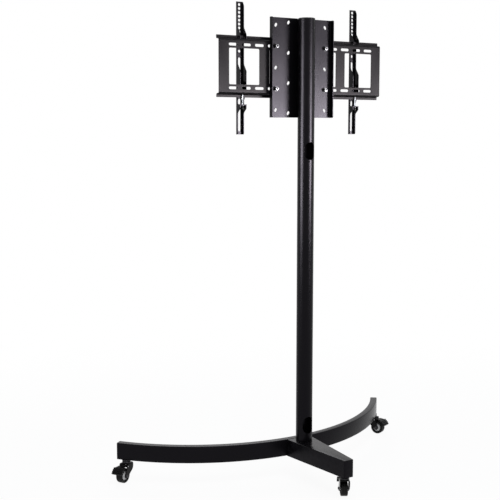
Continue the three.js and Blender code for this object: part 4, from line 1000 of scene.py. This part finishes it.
# Screen arms
# Two 25 mm channels folded from 2 mm steel that hook over the plate's upper lip and rest
# on its lower ledge; a row of holes at the top and long slots below take the screen's screws.
arm_sheet = 0.002
arm_bend = 0.001
arm_shallow = 0.012
arm_deep = 0.028
arm_top_chamfer = 0.007
arm_foot_chamfer = 0.003
arm_hole_radius = 0.0045
arm_hole_pitch = 0.0125
arm_hole_count = 8
arm_top_hole_from_end = 0.0096
arm_lone_hole_below_rail = 0.0486
arm_slot_width = 0.009
long_slot_from_rails = (0.069, 0.0526)
short_slot_below_rail = (0.0035, 0.0223)
foot_slot_below_rail = 0.034
foot_slot_from_end = 0.0104
shoulder_above_rail = (0.027, 0.004)
hook_foot_below_rail_top = 0.020
belly_top = 0.008
belly_full = -0.015
step_below_rail = 0.005
tab_below_rail = 0.0225
tab_depth = 0.0135
tab_slope = 0.013
hook_clearance = 0.0003


def eased(corners, steps=5):
    """Rounds an outline of (u, v, radius) corners.

    At each one a quadratic curve runs between the points its radius back along the two
    sides, or near half of a shorter side.
    """
    points = np.array([corner[:2] for corner in corners], dtype=float)
    loop = []
    share = np.linspace(0, 1, steps)[:, None]
    near_half = 0.48
    for k, here in enumerate(points):
        radius = corners[k][2]
        if not radius:
            loop.append(here[None])
            continue
        back, on = points[k - 1] - here, points[(k + 1) % len(points)] - here
        start = here + back * min(radius / np.linalg.norm(back), near_half)
        end = here + on * min(radius / np.linalg.norm(on), near_half)
        loop.append((1 - share) ** 2 * start + 2 * share * (1 - share) * here + share**2 * end)
    return np.vstack(loop)


def both_sides(half):
    """The right half of an outline of (u, v, radius) corners, and then its mirror image."""
    return half + [(-u, v, radius) for u, v, radius in reversed(half)]


for side in ("left", "right"):
    arm_low, arm_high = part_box(f"tv_arm_{side}")
    middle_x = (arm_low.x + arm_high.x) / 2
    arm_face = arm_low.y
    top, foot = arm_high.z - plate_level, arm_low.z - plate_level
    rail = plate_half_height
    lip_front = plate_low.y - hook_clearance - arm_face
    lip_back = plate_low.y + plate_sheet + hook_clearance - arm_face
    ledge_level = rail - plate_lip
    belly_foot = -ledge_level + plate_sheet + hook_clearance
    tab_top = -rail - tab_below_rail
    wall = [
        (arm_shallow - arm_foot_chamfer, foot, 0.002),
        (arm_shallow, foot + 2 * arm_foot_chamfer, 0.002),
        (arm_shallow, tab_top - tab_depth - tab_slope, 0.004),
        (arm_deep, tab_top - tab_depth, 0.004),
        (arm_deep, tab_top, 0.001),
        (arm_shallow, tab_top, 0.003),
        (arm_shallow, -rail - step_below_rail - arm_sheet, 0.001),
        (lip_front, -rail - step_below_rail, 0.001),
        (lip_front, belly_foot, 0.0006),
        (arm_deep - plate_bend / 2, belly_foot, 0.0006),
        (arm_deep, belly_foot + plate_bend / 2, 0.002),
        (arm_deep, belly_full, 0.0035),
        (arm_shallow, belly_top, 0.0035),
        (arm_shallow, rail - hook_foot_below_rail_top - arm_sheet, 0.001),
        (lip_front, rail - hook_foot_below_rail_top, 0.001),
        (lip_front, rail + hook_clearance, 0.0004),
        (lip_back, rail + hook_clearance, 0.0004),
        (lip_back + plate_bend, ledge_level + plate_bend / 3, 0.001),
        (arm_deep, ledge_level + plate_bend / 3, 0.001),
        (arm_deep, rail + shoulder_above_rail[1], 0.004),
        (arm_shallow, rail + shoulder_above_rail[0], 0.004),
        (arm_shallow, top - 2 * arm_top_chamfer, 0.004),
        (arm_shallow - arm_top_chamfer, top, 0.004),
    ]
    half = (arm_high.x - arm_low.x - arm_sheet) / 2
    arm_path, arm_length = channel(half, arm_sheet / 2, arm_deep, arm_bend + arm_sheet / 2)
    wall_root = arm_length[-1] - arm_deep
    outline = eased(both_sides([(wall_root + y, z, radius) for y, z, radius in wall]))

    def fold_arm(u, v):
        """Folds the flat sheet: u runs round the channel's line and v upwards."""
        x, y = along_line(arm_path, arm_length, u)
        return np.stack([middle_x + x, arm_face + y, plate_level + v], -1)

    levels = [top - arm_top_hole_from_end - index * arm_hole_pitch for index in range(arm_hole_count)]
    levels.append(rail - arm_lone_hole_below_rail)
    holes = [circle(0, level, arm_hole_radius, steps=24) for level in levels]
    spans = [
        (rail - long_slot_from_rails[0], long_slot_from_rails[1] - rail),
        (-rail - short_slot_below_rail[0], -rail - short_slot_below_rail[1]),
        (-rail - foot_slot_below_rail, foot + foot_slot_from_end),
    ]
    holes += [obround(0, (high + low) / 2, arm_slot_width, high - low) for high, low in spans]
    creases = [[(u, foot - past), (u, top + past)] for u in arm_length[1:-1]]
    arm = punched_sheet(f"hook_arm_{side}", outline, holes, creases, fold_arm, arm_sheet, edge=0.0003)
    dress(arm, black_coat, "powder_coat", f"arm_{side}", f"tv_arm_{side}")
    finish_nodes(black_coat, f"lock_tab_{side}")


# Lock screws
# A zinc plated rod with a black knurled head, run up through the arm's tab until its
# point bears on the underside of the plate's lower ledge.
lock_head = 0.012
lock_shank = 0.0025
lock_point = 0.002
knurls = 9
knurl_depth = 0.07
lock_ease = 0.0006
lock_steps = 72
hair = 0.0001

for side in ("left", "right"):
    low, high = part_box(f"lock_screw_{side}")
    place = ((low.x + high.x) / 2, (low.y + high.y) / 2, low.z)
    head_radius, length = (high.x - low.x) / 2, high.z - low.z
    flat, rim = head_radius * 0.8, head_radius * 0.92
    turn = full_turn(lock_steps)
    knurled = head_radius * (1 - knurl_depth * np.abs(np.sin(turn * knurls)))
    rings = [
        turned([(flat, 0), (rim, lock_ease)], lock_steps),
        rings_at(knurled, [2 * lock_ease, lock_head - 2 * lock_ease], turn),
        turned([(rim, lock_head - lock_ease), (flat, lock_head), (lock_shank, lock_head)], lock_steps),
        threaded_rings(lock_shank, lock_head, length - lock_point, 0.0008, depth=0.00045, steps=lock_steps),
        turned([(lock_shank * 0.6, length)], lock_steps),
    ]
    screw = surface(f"thumb_screw_{side}", stood(np.vstack(rings), "Z", place))
    dress(screw, zinc, "zinc", f"arm_lock_{side}", f"lock_screw_{side}")
    second_finish(screw, black_nylon, face_middles(screw)[:, 2] < low.z + lock_head - hair)


# Casters
# Three swivel casters with foot brakes: a zinc stem, a black pressed fork under a ball
# race, a rubber tyre on a plastic hub, and a ridged pedal that pivots on a pin.
black_steel = grained_material(
    "black painted pressing", (0.0012, 0.0012, 0.0014), (0.0022, 0.0022, 0.0025),
    roughness=0.18, cell=0.0009, bump=0.000006,
    worn_colour=(0.03, 0.03, 0.033), specular=0.1, wear=0.5,
)
tyre_rubber = grained_material(
    "tyre rubber", (0.005, 0.005, 0.005), (0.009, 0.0088, 0.0086),
    roughness=0.46, cell=0.0008, bump=0.00002, specular=0.12,
)
hub_plastic = grained_material(
    "pale grey moulding", (0.68, 0.68, 0.675), (0.6, 0.6, 0.595),
    roughness=0.34, cell=0.0005, bump=0.000008, specular=0.4,
)
pedal_plastic = grained_material(
    "pedal moulding", (0.0014, 0.0014, 0.0016), (0.0026, 0.0026, 0.0029),
    roughness=0.3, cell=0.0007, bump=0.00001, specular=0.1,
)
joint_places = {joint["name"]: Vector(joint["pos_m"]) for joint in frame["joints"] if "pos_m" in joint}

fork_gap = 0.0284
fork_sheet = 0.003
crown_half_length = 0.017
crown_drop = 0.011
crown_thickness = 0.004
crown = beam_low.z - crown_drop
stem_radius = 0.0049
stem_pitch = 0.0015
collar_radius = 0.015
collar_top = beam_low.z - fit_gap
collar_height = 0.0038
collar_foot = collar_top - collar_height
rivet_top = crown - crown_thickness - fit_gap
race_radius = 0.015
race_height = 0.006
race_shoulder = 0.003
race_groove = 0.0008
fork_boss_radius = 0.009
boss_from, boss_to = math.radians(35), math.radians(-150)
fork_bend = 0.0035
fork_behind = -0.06
fork_ahead = 0.08
wheel_width = 0.024
tyre_thickness = 0.0065
tyre_edge = 0.003
tyre_flank = 0.0039
tread_line = 0.0004
hub_recess = 0.002
hub_rim = 0.0035
hub_boss = 0.007
hub_web_half = 0.0065
moulded_edge = 0.0006
axle_radius = 0.003
axle_head_radius = 0.0055
axle_dome = 0.003
axle_dome_turn = math.radians(82.8)
pedal_width = 0.042
pedal_neck = 0.026
pedal_gap = 0.0026
pedal_thickness = 0.003
pedal_rib = 0.0026
pedal_valley = 0.0006
pedal_ribs = 4
steps_per_rib = 8
pedal_neck_steps = 13
pedal_start = math.radians(2)
pedal_fan = math.radians(52)
pedal_neck_end = math.radians(104)
pedal_lift = math.radians(14)
pedal_widths = np.array([
    (pedal_start, pedal_width * 0.94), (pedal_start + 0.05, pedal_width), (pedal_fan - 0.03, pedal_width),
    (pedal_fan + 0.12, pedal_neck), (pedal_neck_end, pedal_neck),
])
eye_radius = 0.0042
pin_radius = 0.002
pin_chamfer = 0.0003


def mirrored(half):
    """Half of a profile of (radius, distance across) points, and then its mirror image."""
    return half + [(radius, -across) for radius, across in reversed(half)]


for side in ("left", "right", "tail"):
    stem_place = joint_places[f"{side}_swivel_turn"]
    axle_place = joint_places[f"{side}_wheel_spin"]
    pin_place = joint_places[f"{side}_brake_press"]
    trail = Vector((axle_place.x - stem_place.x, axle_place.y - stem_place.y, 0))
    wheel_trail = trail.length
    trail.normalize()
    basis = np.array([(trail.y, -trail.x, 0), tuple(trail), (0, 0, 1)])
    wheel_radius = axle_place.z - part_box(f"caster_{side}_tyre")[0].z
    pin_along = Vector((pin_place.x - stem_place.x, pin_place.y - stem_place.y, 0)).dot(trail)

    def at_caster(points):
        """Places given across the wheel, along its trail and up from the floor, from the stem's axis."""
        return np.asarray(points) @ basis + np.array([stem_place.x, stem_place.y, 0])

    def spun_across(name, profile, height, along, steps=64, hollow=False, sharp=35):
        """Turns a profile of (radius, distance across) points about a level axis across the wheel."""
        rings = np.roll(turned(profile, steps), 1, axis=-1) + [0, along, height]
        return surface(name, at_caster(rings), along_closed=hollow, sharp=sharp)

    # Stem: collar against the beam, threaded shank up inside it, riveted under the crown
    low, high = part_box(f"caster_{side}_stem")
    profile = [
        (0.0035, low.z), (0.0058, low.z + 0.0005), (0.0072, low.z + 0.0018), (0.0075, rivet_top),
        (stem_radius, rivet_top), (stem_radius, collar_foot),
        (collar_radius - 0.0008, collar_foot), (collar_radius, collar_foot + 0.0008),
        (collar_radius, collar_top - 0.0005), (collar_radius - 0.0005, collar_top),
        (stem_radius, collar_top),
    ]
    thread = threaded_rings(stem_radius, collar_top, high.z, stem_pitch, depth=0.0008)
    stem = surface(f"{side}_stem", at_caster(np.vstack([turned(profile), thread])), sharp=30)
    dress(stem, zinc, "zinc", "stand", f"caster_{side}_stem")
    # The collar's faces take the blackened steel in place of zinc: partly a glossy dark finish that catches
    # glints, partly painted shade for the dark gap under the beam.
    heights = face_middles(stem)[:, 2]
    second_finish(stem, dark_steel, (heights > collar_foot - hair) & (heights < collar_top + hair))

    # Fork: one strip of sheet, punched and folded into a crown and two legs
    leg_x = fork_gap / 2 + fork_sheet / 2
    fork_foot = wheel_radius - fork_boss_radius
    fork_path, fork_length = channel(leg_x, crown - fork_sheet / 2, fork_foot, fork_bend)

    def unfolded(height):
        """Developed length at a height on the right leg, counted from the crown's middle."""
        return fork_length[-1] - (height - fork_foot)

    def fold_fork(u, v):
        """Folds the flat strip: u runs round the channel's line and v along the trail."""
        x, z = along_line(fork_path, fork_length, u)
        return at_caster(np.stack([x, v, z], -1))

    boss = [
        (wheel_trail + fork_boss_radius * math.cos(a), wheel_radius + fork_boss_radius * math.sin(a), 0)
        for a in np.linspace(boss_from, boss_to, 16)
    ]
    leg = [
        (crown_half_length, crown - 0.004, 0), (crown_half_length + 0.001, crown - 0.012, 0.006), *boss,
        (-crown_half_length + 0.004, crown - 0.024, 0.006), (-crown_half_length, crown - 0.015, 0.006),
        (-crown_half_length, crown - 0.004, 0),
    ]
    outline = eased(both_sides([(unfolded(z), y, radius) for y, z, radius in leg]))
    holes = [circle(0, 0, stem_radius + fit_gap)]
    for sign in (-1, 1):
        holes.append(circle(sign * unfolded(wheel_radius), wheel_trail, axle_radius + fit_gap, steps=24))
        holes.append(circle(sign * unfolded(pin_place.z), pin_along, pin_radius + fit_gap, steps=20))
    creases = [[(u, fork_behind), (u, fork_ahead)] for u in fork_length[1:-1]]
    fork = punched_sheet(f"{side}_fork_sheet", outline, holes, creases, fold_fork, fork_sheet, edge=0.0005)
    dress(fork, black_steel, "powder_coat", f"{side}_swivel", f"caster_{side}_fork")

    # Ball race: a pressed cup on the crown with its raceway rolled into it
    groove = race_radius - race_groove
    profile = [
        (stem_radius + fit_gap, crown), (race_radius, crown), (race_radius, crown + race_height * 0.2),
        (groove, crown + race_height * 0.28), (groove, crown + race_height * 0.38),
        (race_radius, crown + race_height * 0.46),
        *rounded_corner(race_radius, crown + race_height, race_shoulder, steps=8),
        (stem_radius + fit_gap, crown + race_height),
    ]
    race = surface(f"{side}_race", at_caster(turned(profile, steps=64)), along_closed=True, sharp=30)
    dress(race, dark_steel, "powder_coat", f"{side}_swivel")

    # Axle: a riveted pin with domed heads outside the fork
    shoulder = fork_gap / 2 + fork_sheet + fit_gap
    dome = [
        (axle_head_radius * math.cos(t), shoulder + axle_dome * math.sin(t))
        for t in np.linspace(axle_dome_turn, 0, 6)
    ]
    profile = mirrored([*dome, (axle_radius, shoulder)])
    axle = spun_across(f"{side}_axle", profile, axle_place.z, wheel_trail, steps=40)
    dress(axle, dark_steel, "dark_steel", f"{side}_swivel", f"caster_{side}_axle")

    # Hub: a pale web and boss inside a black rim
    rim_out = wheel_radius - tyre_thickness - fit_gap
    rim_in = rim_out - hub_rim
    rim_half = wheel_width / 2 - hub_recess
    boss_half = fork_gap / 2 - fit_gap
    profile = mirrored([
        (rim_out, rim_half - moulded_edge), (rim_out - moulded_edge, rim_half),
        (rim_in + moulded_edge, rim_half), (rim_in, rim_half - moulded_edge),
        (rim_in - 0.0008, hub_web_half + 0.001), (rim_in - 0.002, hub_web_half),
        (hub_boss + 0.0015, hub_web_half), (hub_boss + 0.0004, hub_web_half + 0.001),
        (hub_boss, boss_half - moulded_edge), (hub_boss - moulded_edge, boss_half),
        (axle_radius + fit_gap, boss_half),
    ])
    hub = spun_across(f"{side}_hub", profile, axle_place.z, wheel_trail, steps=72, hollow=True, sharp=40)
    dress(hub, hub_plastic, "hub_plastic", f"{side}_wheel", f"caster_{side}_hub")
    from_axle = face_middles(hub) - np.array(tuple(axle_place))
    off_axle = np.linalg.norm(from_axle - np.outer(from_axle @ basis[0], basis[0]), axis=1)
    second_finish(hub, pedal_plastic, off_axle > rim_in + hair)

    # Tyre: rounded tread with two fine moulding lines
    half = wheel_width / 2
    tyre_in = wheel_radius - tyre_thickness
    groove = wheel_radius - tread_line
    tread = [
        (wheel_radius - tyre_edge + tyre_edge * math.sin(t), half - tyre_flank * (1 - math.cos(t)))
        for t in np.linspace(0, math.pi / 2, 8)
    ]
    profile = mirrored([
        (tyre_in, half - moulded_edge), (tyre_in + moulded_edge, half), *tread,
        (wheel_radius, half * 0.4), (wheel_radius, half * 0.36),
        (groove, half * 0.34), (groove, half * 0.3), (wheel_radius, half * 0.28),
    ])
    tyre = spun_across(f"{side}_tyre", profile, axle_place.z, wheel_trail, steps=96, hollow=True, sharp=50)
    dress(tyre, tyre_rubber, "tyre_rubber", f"{side}_wheel", f"caster_{side}_tyre")

    # Brake pedal: a band about the wheel, ridged on top, wide outside and narrow at the eye
    inner = wheel_radius + pedal_gap
    outer = inner + pedal_thickness
    fan = np.linspace(pedal_start, pedal_fan, pedal_ribs * steps_per_rib + 1)
    wave = 1 - np.abs(np.linspace(0, pedal_ribs, len(fan)) % 1 * 2 - 1)
    neck = np.linspace(pedal_fan, pedal_neck_end, pedal_neck_steps + 1)[1:]
    band = [(outer - pedal_valley + (pedal_rib + pedal_valley) * w, a) for a, w in zip(fan, wave)]
    band += [(outer, a) for a in neck]
    band += [(inner, a) for a in np.concatenate([fan[::2], neck])[::-1]]
    radius, angle = np.array(band).T
    half_width = np.interp(angle, pedal_widths[:, 0], pedal_widths[:, 1]) / 2
    flat = np.stack([wheel_trail + radius * np.cos(angle), axle_place.z + radius * np.sin(angle)], -1)
    pivot = np.array([pin_along, pin_place.z])
    flat = (flat - pivot) @ turned_by(pedal_lift) + pivot
    rings = np.array([np.column_stack([half_width * share, flat]) for share in np.linspace(-1, 1, 9)])
    pedal = surface(f"{side}_pedal", at_caster(rings), sharp=30)
    soften(pedal, edge=0.0004, angle=50)
    dress(pedal, pedal_plastic, "black_plastic", f"{side}_brake", f"caster_{side}_brake")
    eye_half = pedal_neck / 2
    profile = mirrored([
        (pin_radius + fit_gap, eye_half), (eye_radius - moulded_edge, eye_half),
        (eye_radius, eye_half - moulded_edge),
    ])
    eye = spun_across(f"{side}_pedal_eye", profile, pin_place.z, pin_along, steps=36, hollow=True)
    dress(eye, pedal_plastic, "black_plastic", f"{side}_brake")
    profile = mirrored([(pin_radius - pin_chamfer, shoulder), (pin_radius, shoulder - pin_chamfer)])
    pin = spun_across(f"{side}_pin", profile, pin_place.z, pin_along, steps=32)
    dress(pin, zinc, "zinc", f"{side}_swivel", f"caster_{side}_brake_pin")
